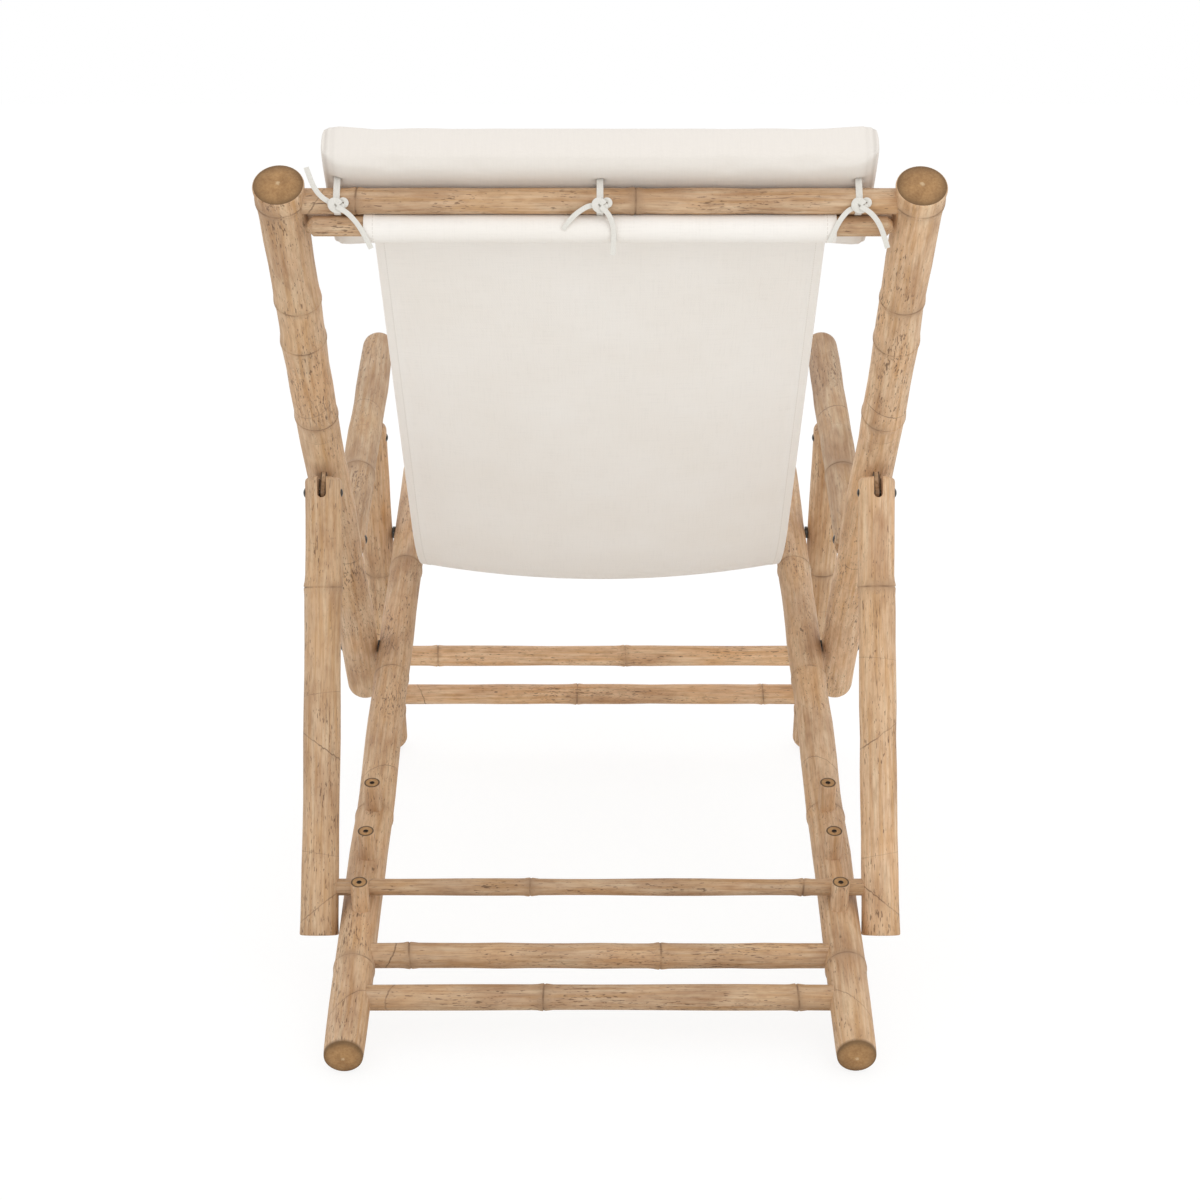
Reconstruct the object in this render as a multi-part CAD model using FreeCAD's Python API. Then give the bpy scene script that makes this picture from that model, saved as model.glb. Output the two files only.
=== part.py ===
import FreeCAD
import Part
import math
import os

# Bamboo folding recliner, in millimetres. +Z is up, the sitter faces -Y, X runs across the chair,
# and the origin is on the floor under the middle of the whole object.
# Lengths along a pole are measured on its axis from the pivot or end that its name gives.

# Two layers of poles: rails inside; back poles, armrests, front legs and props outside
rail_plane = 254.5
outer_plane = 300.0

# Seat rails, which stand on the floor at the rear and rise to the front
rail_radius = 20.9
rail_length = 1174.0
rail_slope = 19.0
rail_front_round = 13.0
rail_rings = (130.0, 384.0, 682.0, 918.0)
foot_flat = 1.0
rear_bar_radius = 13.2
rear_bar_places = (86.6, 150.7)
rear_bar_rings = ((-57.0, 203.0), (-199.0, 63.0))

# Notch pegs on top of the rails, and the rear bar that rests in front of the lowest pair
peg_radius = 9.5
peg_height = 33.4
peg_seat = 15.0
peg_first = 205.6
peg_pitch = 85.8
peg_count = 3
pith_radius = 1.9
pith_depth = 9.0

# Back frame
back_radius = 22.6
back_slope = 43.9
back_pivot_place = 725.5
back_above_pivot = 894.5
back_below_pivot = 107.0
back_foot_round = 15.0
back_rings = (590.0, 728.0, 792.0, 958.0)

# Each end of the canvas is held by a rod behind a wide bar and a thin bar
wide_bar_radius = 12.1
thin_bar_radius = 9.0
wide_bar_from_end = 23.1
bar_spacing = 33.0
wide_bar_rings = ((-227.0, 33.0), (-120.0, 150.0))
rod_radius = 9.9
rod_chamfer = 5.0
rod_end_gap = 3.5

# Bars enter the poles they join by this much
bar_seat = 13.0

# Armrests
arm_radius = 20.8
arm_slope = 21.5
arm_length = 474.0
arm_front_round = 15.0
arm_rings = (170.0, 352.0)
arm_pivot_place = 182.0
leg_pin_along_arm = 304.8

# Front legs
leg_radius = 21.2
leg_pivot_place = 996.8
leg_foot_round = 15.0
leg_rings = (222.0, 455.0)
leg_bar_radius = 14.0
leg_bar_places = (208.3, 276.6)
leg_bar_rings = ((-226.0, 35.0), (-32.0, 229.0))

# Props and the bar between their lower ends
prop_radius = 19.8
prop_pivot_place = 433.0
prop_length = 475.0
prop_rings = (103.0, 330.0)
prop_bar_radius = 9.0
prop_bar_rings = (-74.0, 217.0)

# Wooden tongues in forked pole ends
hinge_offset = 46.0
leg_hinge_offset = 46.6
tongue_thickness = 6.0
tongue_round = 5.5
tongue_seat = 15.0
slot_width = 9.4
slot_floor_gap = 1.7
fork_reach = 16.3
fork_round = 5.0

# Steel fasteners
pin_radius = 3.0
screw_radius = 4.0
screw_bite = 26.0
head_radius = 5.8
head_height = 2.5
spot_radius = 6.6
spot_depth = 0.8
nut_socket = 9.0
spacer_radius = 8.0

# Canvas, pillow and tapes
canvas_thickness = 1.4
canvas_width = 433.0
sleeve_width = 442.0
sleeve_slack = 2.6
seat_dip = 4.5
seat_bend_radius = 300.0
canvas_sag = 21.0
canvas_sections = 9
canvas_stations = 25
pillow_width = 508.0
pillow_height = 138.0
pillow_thickness = 42.0
pillow_above_pole = 25.0
pillow_corner = 9.0
tape_width = 7.6
tape_thickness = 1.2
knot_radius = 8.2
knot_thickness = 9.0
knot_dip = 10.0
tape_places = (245.0, 0.0, -241.0)
# Each tail's angle from +X towards +Z, and its length
tape_tails = (((54.0, 45.0), (-127.0, 52.0)), ((-33.0, 42.0), (-104.0, 50.0)), ((-53.0, 45.0), (-125.0, 50.0)))

# Finish of the bamboo: how a ring swells, and how cut ends are softened
ring_swell = 0.9
ring_half = 6.0
cut_round = 1.2

# Cut ends of the rails and back poles are plugged
plug_rim = 3.2
plug_depth = 4.0
back_plug_dome = 3.0
rail_plug_dome = 0.8

# Clearances. The swellings of the rings hold the resting prop bar off the rails and the pegs.
running = 0.05
near = 0.3
loop_slack = 0.6
bar_over_rail = 1.2
bar_off_peg = 0.8

ORIGIN = FreeCAD.Vector(0, 0, 0)
AXIS_X = FreeCAD.Vector(1, 0, 0)
AXIS_Z = FreeCAD.Vector(0, 0, 1)

# The sitter's left is towards +X
SIDES = {"left": 1, "right": -1}


def uphill(slope):
    """Direction in the side plane, rising by slope degrees towards the rear."""
    angle = math.radians(slope)
    return FreeCAD.Vector(0, math.cos(angle), math.sin(angle))


def slope_of(direction):
    return math.degrees(math.atan2(direction.z, direction.y))


def across(direction):
    """The direction turned by a quarter turn, from the rear towards the top."""
    return FreeCAD.Vector(0, -direction.z, direction.y)


def at_plane(point, x):
    return FreeCAD.Vector(x, point.y, point.z)


def meet(point_a, direction_a, point_b, direction_b):
    """Where two lines of the side plane cross."""
    gap = point_b - point_a
    share = gap.y * direction_b.z - gap.z * direction_b.y
    return point_a + direction_a * (share / (direction_a.y * direction_b.z - direction_a.z * direction_b.y))


# Directions of the poles
rail_up = uphill(180.0 - rail_slope)
rail_top_side = uphill(90.0 - rail_slope)
back_up = uphill(back_slope)
back_front_side = across(back_up)
arm_forward = uphill(180.0 - arm_slope)
arm_under_side = across(arm_forward)

# Points of the linkage in the side plane, from the rear end of the rails
rail_rear = FreeCAD.Vector(0, 0, rail_radius * math.cos(math.radians(rail_slope)) - foot_flat)
back_pivot = rail_rear + rail_up * back_pivot_place
leg_pivot = rail_rear + rail_up * leg_pivot_place
arm_pivot = back_pivot + back_up * arm_pivot_place + back_front_side * hinge_offset
prop_pivot = back_pivot + back_up * prop_pivot_place - back_front_side * hinge_offset
leg_pin = arm_pivot + arm_forward * leg_pin_along_arm + arm_under_side * leg_hinge_offset
leg_down = (leg_pivot - leg_pin).normalize()
prop_bar_centre = (
    rail_rear
    + rail_up * (peg_first + peg_radius + bar_off_peg + prop_bar_radius)
    + rail_top_side * (rail_radius + bar_over_rail + prop_bar_radius)
)
prop_down = (prop_bar_centre - prop_pivot).normalize()
back_foot = back_pivot - back_up * back_below_pivot
back_head = back_pivot + back_up * back_above_pivot
rail_front = rail_rear + rail_up * rail_length


def culm(length, radius, rings=(), start_round=cut_round, end_round=cut_round):
    """A bamboo pole along +Z with a low swelling at each ring and softened ends."""
    edges = []
    last = FreeCAD.Vector(0, 0, 0)

    def line_to(x, z):
        nonlocal last
        point = FreeCAD.Vector(x, 0, z)
        edges.append(Part.LineSegment(last, point).toShape())
        last = point

    def arc_to(middle, end):
        nonlocal last
        edges.append(Part.Arc(last, middle, end).toShape())
        last = end

    short = 1.0 - math.sqrt(0.5)
    line_to(radius - start_round, 0)
    arc_to(
        FreeCAD.Vector(radius - start_round * short, 0, start_round * short),
        FreeCAD.Vector(radius, 0, start_round),
    )
    for ring in sorted(rings):
        line_to(radius, ring - ring_half)
        arc_to(FreeCAD.Vector(radius + ring_swell, 0, ring), FreeCAD.Vector(radius, 0, ring + ring_half))
    line_to(radius, length - end_round)
    arc_to(
        FreeCAD.Vector(radius - end_round * short, 0, length - end_round * short),
        FreeCAD.Vector(radius - end_round, 0, length),
    )
    line_to(0, length)
    line_to(0, 0)
    return Part.Face(Part.Wire(edges)).revolve(ORIGIN, AXIS_Z, 360)


def stand(shape, start, direction, x):
    """Place a shape made along +Z so that it starts at a side-plane point and runs in a direction."""
    turn = FreeCAD.Rotation(AXIS_X, slope_of(direction) - 90.0)
    shape.Placement = FreeCAD.Placement(at_plane(start, x), turn)
    return shape


def round_bar(radius, length, start, direction):
    return Part.makeCylinder(radius, length, start, direction)


def cross_bar(radius, half_length, centre, rings=()):
    """A bamboo bar along X, its rings given from the middle of the chair."""
    bar = culm(2 * half_length, radius, [half_length + ring for ring in rings])
    turn = FreeCAD.Rotation(FreeCAD.Vector(0, 1, 0), 90)
    bar.Placement = FreeCAD.Placement(at_plane(centre, -half_length), turn)
    return bar


def bar_hole(radius, centre, x, pole_radius):
    """The hole that a bar enters, from inside the pole to the middle of the chair."""
    side = math.copysign(1, x)
    depth = bar_seat + pole_radius
    start = at_plane(centre, side * (abs(x) - pole_radius + bar_seat))
    return round_bar(radius, depth, start, AXIS_X * -side)


def half_span(plane, pole_radius):
    """Half the length of a bar that enters the poles on both sides."""
    return plane - pole_radius + bar_seat


def pin_hole(centre, radius):
    reach = 2 * outer_plane
    return round_bar(radius, 2 * reach, at_plane(centre, -reach), AXIS_X)


def spot_face(centre, x, pole_radius, outward):
    """A shallow flat around a bolt, on the side that outward points to."""
    start = at_plane(centre, x + outward * (pole_radius - spot_depth))
    return round_bar(spot_radius, spot_depth + head_height, start, AXIS_X * outward)


def dome(radius, height):
    """A low dome on the XY plane."""
    ball = (radius**2 + height**2) / (2 * height)
    cap = Part.makeSphere(ball, FreeCAD.Vector(0, 0, height - ball))
    return cap.common(Part.makeCylinder(radius + 1, height + 1))


def along_x(shape, centre, x, outward):
    """Place a shape made along +Z so that it runs outward along X."""
    turn = FreeCAD.Rotation(FreeCAD.Vector(0, 1, 0), 90 * outward)
    shape.Placement = FreeCAD.Placement(at_plane(centre, x), turn)
    return shape


def bolt(centre, x_seat, outward, shank_radius, shank_length):
    """A domed bolt whose head sits on x_seat and whose shank runs the other way."""
    head = dome(head_radius, head_height)
    shank = Part.makeCylinder(shank_radius, shank_length, FreeCAD.Vector(0, 0, -shank_length))
    return along_x(head.fuse(shank).removeSplitter(), centre, x_seat, outward)


def cap_nut(centre, x_seat, outward):
    """A domed nut with a sleeve that takes the end of a bolt."""
    sleeve = Part.makeCylinder(pin_radius + 1.2, nut_socket, FreeCAD.Vector(0, 0, -nut_socket))
    thread = Part.makeCylinder(pin_radius, nut_socket, FreeCAD.Vector(0, 0, -nut_socket))
    body = dome(head_radius, head_height).fuse(sleeve).cut(thread)
    return along_x(body.removeSplitter(), centre, x_seat, outward)


def fork_slot(pivot, into_pole):
    """The slot of a forked end: open at the end and on both faces, with a round floor."""
    depth = 4 * back_radius
    floor = tongue_round + slot_floor_gap - slot_width / 2
    corner = FreeCAD.Vector(-slot_width / 2, -depth / 2, -3 * fork_reach)
    mouth = Part.makeBox(slot_width, depth, 3 * fork_reach + floor, corner)
    start = FreeCAD.Vector(0, -depth / 2, floor)
    round_floor = Part.makeCylinder(slot_width / 2, depth, start, FreeCAD.Vector(0, 1, 0))
    slot = mouth.fuse(round_floor)
    turn = FreeCAD.Rotation(AXIS_X, slope_of(into_pole) - 90.0)
    slot.Placement = FreeCAD.Placement(pivot, turn)
    return slot


def fork(pole, pivot, into_pole, x, pole_radius):
    """Cut the slot, the bolt hole, the nut's wider hole and the flats under both heads."""
    for tool in (
        fork_slot(at_plane(pivot, x), into_pole),
        pin_hole(pivot, pin_radius),
        spot_face(pivot, x, pole_radius, 1),
        spot_face(pivot, x, pole_radius, -1),
    ):
        pole = pole.cut(tool)
    inward = -math.copysign(1, x)
    seat = at_plane(pivot, x + inward * (pole_radius - spot_depth - nut_socket))
    return pole.cut(round_bar(pin_radius + 1.2, nut_socket, seat, AXIS_X * inward))


def fork_fasteners(pivot, x, pole_radius):
    """The bolt from the outer side of a fork and the cap nut on its inner side."""
    outward = math.copysign(1, x)
    seat = pole_radius - spot_depth
    shank = 2 * seat - 1.0
    return (
        bolt(pivot, x + outward * seat, outward, pin_radius, shank),
        cap_nut(pivot, x - outward * seat, -outward),
    )


def tongue_blank(pivot, towards_pole, offset, pole_radius, x):
    """A flat tongue from inside its pole to a round end about the pivot."""
    length = offset - pole_radius + tongue_seat
    end = Part.makeCylinder(tongue_round, tongue_thickness)
    end.Placement = FreeCAD.Placement(
        FreeCAD.Vector(-tongue_thickness / 2, 0, 0), FreeCAD.Rotation(FreeCAD.Vector(0, 1, 0), 90)
    )
    blade = Part.makeBox(
        tongue_thickness,
        2 * tongue_round,
        length,
        FreeCAD.Vector(-tongue_thickness / 2, -tongue_round, 0),
    )
    return stand(end.fuse(blade).removeSplitter(), pivot, towards_pole, x)


def tongue(pivot, towards_pole, offset, pole_radius, x, slack):
    """A tongue with its pin hole."""
    blank = tongue_blank(pivot, towards_pole, offset, pole_radius, x)
    return blank.cut(pin_hole(pivot, pin_radius + slack))


def end_plug(radius, dome_height, end, direction, x):
    """The plug of a cut pole end: a disc in the pole with a low dome outside."""
    body = Part.makeCylinder(radius, plug_depth, FreeCAD.Vector(0, 0, -plug_depth))
    return stand(body.fuse(dome(radius, dome_height)).removeSplitter(), end, direction, x)


def plug_hole(radius, end, direction, x):
    hole = Part.makeCylinder(radius, plug_depth + 1, FreeCAD.Vector(0, 0, -plug_depth))
    return stand(hole, end, direction, x)


def below_floor():
    """A block under the floor, which trims the feet to small worn flats."""
    side = 4 * outer_plane
    corner = FreeCAD.Vector(-side / 2, -3 * side / 2, -side)
    return Part.makeBox(side, 2 * side, side, corner)


def bar_pair(end, inward):
    """Centres of the wide and the thin bar at one end of the canvas."""
    wide = end + inward * wide_bar_from_end
    return wide, wide + inward * bar_spacing


def rod_centre(wide, inward, behind):
    """The rod rests in the valley between the two bars, with the canvas between."""
    wide_reach = wide_bar_radius + canvas_thickness + rod_radius
    thin_reach = thin_bar_radius + canvas_thickness + rod_radius
    shift = (bar_spacing**2 + wide_reach**2 - thin_reach**2) / (2 * bar_spacing)
    return wide + inward * shift + behind * math.sqrt(wide_reach**2 - shift**2)


def canvas_rod(centre, plane, pole_radius):
    """A rod with chamfered ends, just shorter than the space between the poles."""
    half = plane - pole_radius - rod_end_gap
    rod = Part.makeCylinder(rod_radius, 2 * half, at_plane(centre, -half), AXIS_X)
    rims = [edge for edge in rod.Edges if isinstance(edge.Curve, Part.Circle)]
    return rod.makeChamfer(rod_chamfer, rims)


# Bars and rods at the two ends of the canvas
back_wide, back_thin = bar_pair(back_head, back_up * -1)
back_rod = rod_centre(back_wide, back_up * -1, back_front_side * -1)
seat_wide, seat_thin = bar_pair(rail_front, rail_up * -1)
seat_rod = rod_centre(seat_wide, rail_up * -1, rail_top_side * -1)

# Bars between the rails and between the front legs
rear_bars = [rail_rear + rail_up * place for place in rear_bar_places]
leg_bars = [leg_pivot + leg_down * place for place in leg_bar_places]


def seat_rail(side):
    x = side * rail_plane
    pole = stand(culm(rail_length, rail_radius, rail_rings, cut_round, rail_front_round), rail_rear, rail_up, x)
    for centre in rear_bars:
        pole = pole.cut(bar_hole(rear_bar_radius, centre, x, rail_radius))
    pole = pole.cut(bar_hole(wide_bar_radius, seat_wide, x, rail_radius))
    pole = pole.cut(bar_hole(thin_bar_radius, seat_thin, x, rail_radius))
    for number in range(peg_count):
        pole = pole.cut(peg_body(number, side))
    for pivot in (back_pivot, leg_pivot):
        start = at_plane(pivot, x + side * (rail_radius - screw_bite))
        pole = pole.cut(round_bar(screw_radius, screw_bite + 1, start, AXIS_X * side))
    pole = pole.cut(plug_hole(rail_radius - plug_rim, rail_rear, rail_up * -1, x))
    return pole.cut(below_floor())


def peg_body(number, side):
    foot = rail_rear + rail_up * (peg_first + number * peg_pitch) + rail_top_side * (rail_radius - peg_seat)
    peg = culm(peg_seat + peg_height, peg_radius, (), cut_round, cut_round)
    return stand(peg, foot, rail_top_side, side * rail_plane)


def notch_peg(number, side):
    """A peg with the small pith hole in its cut top."""
    top = rail_rear + rail_up * (peg_first + number * peg_pitch) + rail_top_side * (rail_radius + peg_height)
    pith = round_bar(pith_radius, pith_depth + 1, at_plane(top, side * rail_plane), rail_top_side * -1)
    return peg_body(number, side).cut(pith)


def back_pole(side):
    x = side * outer_plane
    length = back_below_pivot + back_above_pivot
    pole = stand(culm(length, back_radius, back_rings, back_foot_round, cut_round), back_foot, back_up, x)
    pole = pole.cut(pin_hole(back_pivot, screw_radius + running))
    pole = pole.cut(spot_face(back_pivot, x, back_radius, side))
    pole = pole.cut(bar_hole(wide_bar_radius, back_wide, x, back_radius))
    pole = pole.cut(bar_hole(thin_bar_radius, back_thin, x, back_radius))
    pole = pole.cut(tongue_blank(prop_pivot, back_front_side, hinge_offset, back_radius, x))
    pole = pole.cut(tongue_blank(arm_pivot, back_front_side * -1, hinge_offset, back_radius, x))
    return pole.cut(plug_hole(back_radius - plug_rim, back_head, back_up, x))


def armrest(side):
    x = side * outer_plane
    rear = arm_pivot - arm_forward * fork_reach
    rings = [ring + fork_reach for ring in arm_rings]
    length = fork_reach + arm_length
    pole = stand(culm(length, arm_radius, rings, fork_round, arm_front_round), rear, arm_forward, x)
    pole = fork(pole, arm_pivot, arm_forward, x, arm_radius)
    return pole.cut(tongue_blank(leg_pin, arm_under_side * -1, leg_hinge_offset, arm_radius, x))


def front_leg(side):
    x = side * outer_plane
    top = leg_pin - leg_down * fork_reach
    # The foot reaches the floor by the lowest point of its rounded end
    steepness = -leg_down.z
    below_axis = leg_foot_round + (leg_radius - leg_foot_round) * math.sqrt(1 - steepness**2)
    rounded_centre = top.z + foot_flat - below_axis
    length = rounded_centre / steepness + leg_foot_round
    rings = [ring + fork_reach for ring in leg_rings]
    pole = stand(culm(length, leg_radius, rings, fork_round, leg_foot_round), top, leg_down, x)
    pole = fork(pole, leg_pin, leg_down, x, leg_radius)
    pole = pole.cut(pin_hole(leg_pivot, screw_radius + running))
    pole = pole.cut(spot_face(leg_pivot, x, leg_radius, side))
    for centre in leg_bars:
        pole = pole.cut(bar_hole(leg_bar_radius, centre, x, leg_radius))
    return pole.cut(below_floor())


def prop_leg(side):
    x = side * outer_plane
    top = prop_pivot - prop_down * fork_reach
    rings = [ring + fork_reach for ring in prop_rings]
    length = fork_reach + prop_length
    pole = stand(culm(length, prop_radius, rings, fork_round, cut_round), top, prop_down, x)
    pole = fork(pole, prop_pivot, prop_down, x, prop_radius)
    return pole.cut(bar_hole(prop_bar_radius, prop_bar_centre, x, prop_radius))


def pivot_screw(pivot, pole_radius, side):
    """A screw through an outer pole into the rail, its head just clear of the pole's flat."""
    seat = outer_plane + pole_radius - spot_depth + near
    tip = rail_plane + rail_radius - screw_bite
    return bolt(pivot, side * seat, side, screw_radius, seat - tip)


def spacer(pivot, pole_radius, side):
    """A washer between a rail and an outer pole."""
    start = rail_plane + rail_radius
    thickness = outer_plane - pole_radius - near - start
    ring = Part.makeCylinder(spacer_radius, thickness).cut(Part.makeCylinder(screw_radius, thickness))
    return along_x(ring, pivot, side * start, side)


def canvas_line():
    """The canvas in the side plane, from the rod behind the back bars to the rod under the seat."""
    back_offset = thin_bar_radius + canvas_thickness / 2 + near
    on_back = back_thin + back_front_side * back_offset
    seat_back = uphill(-seat_dip)
    on_seat = seat_thin + across(seat_back) * back_offset
    corner = meet(on_back, back_up, on_seat, seat_back)
    half_turn = math.radians(back_slope + seat_dip) / 2
    tangent = seat_bend_radius * math.tan(half_turn)
    start = corner + back_up * tangent
    end = corner - seat_back * tangent
    centre = start + back_front_side * seat_bend_radius
    middle = centre + (corner - centre).normalize() * seat_bend_radius
    return on_back, start, middle, end, on_seat


def sheet_stations(points):
    """Points along the sheet, each with the direction square to it on the sitter's side and its share of the
    sheet's length."""
    on_back, start, middle, end, on_seat = points
    line = Part.Wire(
        [
            Part.LineSegment(on_back, start).toShape(),
            Part.Arc(start, middle, end).toShape(),
            Part.LineSegment(end, on_seat).toShape(),
        ]
    ).discretize(Number=canvas_stations)
    last = canvas_stations - 1
    stations = []
    for number, point in enumerate(line):
        ahead = line[min(number + 1, last)] - line[max(number - 1, 0)]
        stations.append((point, across(ahead.normalize()) * -1, number / last))
    return stations


def sheet_section(stations, place):
    """Outline of the sheet at a place across it: 0 is its middle and 1 or -1 an edge."""
    upper = []
    lower = []
    for point, square, share in stations:
        hung = point - square * canvas_sag * math.sin(math.pi * share) * (1 - place**2)
        for side, offset in ((upper, canvas_thickness / 2), (lower, -canvas_thickness / 2)):
            side.append(at_plane(hung + square * offset, place * canvas_width / 2))
    lower.reverse()
    curves = [Part.BSplineCurve(), Part.BSplineCurve()]
    curves[0].interpolate(upper)
    curves[1].interpolate(lower)
    return Part.Wire(
        [
            curves[0].toShape(),
            Part.LineSegment(upper[-1], lower[0]).toShape(),
            curves[1].toShape(),
            Part.LineSegment(lower[-1], upper[0]).toShape(),
        ]
    )


def quarter(centre, first, second):
    """A block that fills the quarter between two square directions of the side plane."""
    size = 4 * back_radius
    block = Part.makeBox(canvas_width, size, size, FreeCAD.Vector(-canvas_width / 2, 0, 0))
    start = first if across(first).dot(second) > 0 else second
    block.Placement = FreeCAD.Placement(centre, FreeCAD.Rotation(AXIS_X, slope_of(start)))
    return block


def sleeve_body(rod, slack):
    """The outside of the canvas sleeve round a rod, made wider by a slack."""
    return round_bar(rod_radius + sleeve_slack + slack, sleeve_width, at_plane(rod, -sleeve_width / 2), AXIS_X)


def canvas_end(thin, wide, rod, rings, outward, front_side, sheet_side):
    """From the sheet over the thin bar, through the gap between the bars, round the rod."""
    half = canvas_width / 2
    radius = thin_bar_radius + near
    wrap = round_bar(radius + canvas_thickness, canvas_width, at_plane(thin, -half), AXIS_X)
    wrap = wrap.common(quarter(thin, outward, front_side))
    wrap = wrap.common(quarter(thin, sheet_side, across_to(sheet_side, outward)))
    strip_start = thin + outward * (radius + canvas_thickness / 2)
    reach = (strip_start - rod).dot(front_side)
    corner = FreeCAD.Vector(-half, -canvas_thickness / 2, 0)
    strip = Part.makeBox(canvas_width, canvas_thickness, reach, corner)
    stand(strip, strip_start, front_side * -1, 0)
    whole = sleeve_body(rod, 0).fuse([wrap, strip])
    for centre, bar_radius, bar_rings in (
        (thin, thin_bar_radius, ()),
        (wide, wide_bar_radius, rings),
        (rod, rod_radius, ()),
    ):
        whole = whole.cut(cross_bar(bar_radius + near, outer_plane, centre, bar_rings))
    return whole


def across_to(direction, towards):
    """The direction square to the first one, on the side that towards points to."""
    square = across(direction)
    return square if square.dot(towards) > 0 else square * -1


def sling():
    """The canvas as one closed solid: the sheet, hanging in the middle, and at each end a strip and a sleeve."""
    stations = sheet_stations(canvas_line())
    places = [2 * number / (canvas_sections - 1) - 1 for number in range(canvas_sections)]
    sheet = Part.makeLoft([sheet_section(stations, place) for place in places], True, True)
    seat_side = across(uphill(-seat_dip))
    back_rings, seat_rings = wide_bar_rings
    back_end = canvas_end(back_thin, back_wide, back_rod, back_rings, back_up, back_front_side, back_front_side)
    seat_end = canvas_end(seat_thin, seat_wide, seat_rod, seat_rings, rail_up, rail_top_side, seat_side)
    return sheet.fuse([back_end, seat_end]).removeSplitter()


def pillow():
    """The pillow's block, in front of the bars and square to the back."""
    rear = wide_bar_radius + tape_thickness + near
    corner = FreeCAD.Vector(-pillow_width / 2, -rear - pillow_thickness, 0)
    block = Part.makeBox(pillow_width, pillow_thickness, pillow_height, corner)
    block = block.makeFillet(pillow_corner, block.Edges)
    return stand(block, back_head + back_up * (pillow_above_pole - pillow_height), back_up, 0)


def pillow_tie(place, tails):
    """A tape loop round the wide bar with a knot on its rear side and two loose tails."""
    loop_radius = wide_bar_radius + tape_thickness
    start = at_plane(back_wide, place - tape_width / 2)
    loop = round_bar(loop_radius, tape_width, start, AXIS_X)
    knot_out = uphill(-knot_dip)
    knot_start = at_plane(back_wide, place) + knot_out * wide_bar_radius
    knot = round_bar(knot_radius, knot_thickness, knot_start, knot_out)
    knot = knot.makeFillet(knot_thickness / 3, knot.Edges)
    tie = loop.fuse(knot)
    for angle, length in tails:
        tail = Part.makeBox(length, tape_thickness, tape_width, FreeCAD.Vector(0, 0, -tape_width / 2))
        root = knot_start + knot_out * (knot_thickness / 2)
        tail.Placement = FreeCAD.Placement(root, FreeCAD.Rotation(FreeCAD.Vector(0, -1, 0), angle))
        tie = tie.fuse(tail)
    bar = round_bar(wide_bar_radius, 2 * tape_width, at_plane(back_wide, place - tape_width), AXIS_X)
    return tie.cut(bar).cut(sleeve_body(back_rod, near)).removeSplitter()


def both_sides(maker, *values):
    """The left and the right copy of a piece as one group."""
    return Part.makeCompound([maker(*values, side) for side in SIDES.values()])


def hinge_fasteners(pivot, pole_radius, name, sides):
    """Bolts and cap nuts of a forked hinge, each as one group."""
    sets = [fork_fasteners(pivot, side * outer_plane, pole_radius) for side in sides]
    bolts, nuts = zip(*sets)
    return {f"{name}_bolt": Part.makeCompound(list(bolts)), f"{name}_nut": Part.makeCompound(list(nuts))}


def seat_frame():
    pieces = {}
    for name, side in SIDES.items():
        pieces[f"seat_rail_{name}"] = seat_rail(side)
        pieces[f"rail_plug_{name}"] = end_plug(
            rail_radius - plug_rim, rail_plug_dome, rail_rear, rail_up * -1, side * rail_plane
        )
        for number in range(peg_count):
            pieces[f"notch_peg_{name}_{number + 1}"] = notch_peg(number, side)
    span = half_span(rail_plane, rail_radius)
    for name, centre, rings in zip(("lower", "upper"), rear_bars, rear_bar_rings):
        pieces[f"rear_bar_{name}"] = cross_bar(rear_bar_radius, span, centre, rings)
    pieces["seat_front_bar"] = cross_bar(wide_bar_radius, span, seat_wide, wide_bar_rings[1])
    pieces["seat_stop_bar"] = cross_bar(thin_bar_radius, span, seat_thin)
    pieces["sling_rod_front"] = canvas_rod(seat_rod, rail_plane, rail_radius)
    pieces["back_pivot_screws"] = both_sides(pivot_screw, back_pivot, back_radius)
    pieces["leg_pivot_screws"] = both_sides(pivot_screw, leg_pivot, leg_radius)
    pieces["back_pivot_spacers"] = both_sides(spacer, back_pivot, back_radius)
    pieces["leg_pivot_spacers"] = both_sides(spacer, leg_pivot, leg_radius)
    return pieces


def back_frame():
    pieces = {}
    for name, side in SIDES.items():
        x = side * outer_plane
        pieces[f"back_pole_{name}"] = back_pole(side)
        pieces[f"back_plug_{name}"] = end_plug(back_radius - plug_rim, back_plug_dome, back_head, back_up, x)
        pieces[f"prop_tongue_{name}"] = tongue(
            prop_pivot, back_front_side, hinge_offset, back_radius, x, running
        )
        pieces[f"armrest_tongue_{name}"] = tongue(
            arm_pivot, back_front_side * -1, hinge_offset, back_radius, x, running
        )
    span = half_span(outer_plane, back_radius)
    pieces["back_top_bar"] = cross_bar(wide_bar_radius, span, back_wide, wide_bar_rings[0])
    pieces["back_stop_bar"] = cross_bar(thin_bar_radius, span, back_thin)
    pieces["sling_rod_back"] = canvas_rod(back_rod, outer_plane, back_radius)
    pieces["canvas_sling"] = sling()
    pieces["pillow"] = pillow()
    for name, place, tails in zip(("left", "middle", "right"), tape_places, tape_tails):
        pieces[f"pillow_tie_{name}"] = pillow_tie(place, tails)
    return pieces


def leg_frame():
    pieces = {f"front_leg_{name}": front_leg(side) for name, side in SIDES.items()}
    span = half_span(outer_plane, leg_radius)
    for name, centre, rings in zip(("upper", "lower"), leg_bars, leg_bar_rings):
        pieces[f"front_leg_bar_{name}"] = cross_bar(leg_bar_radius, span, centre, rings)
    pieces.update(hinge_fasteners(leg_pin, leg_radius, "leg_top", SIDES.values()))
    return pieces


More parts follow.
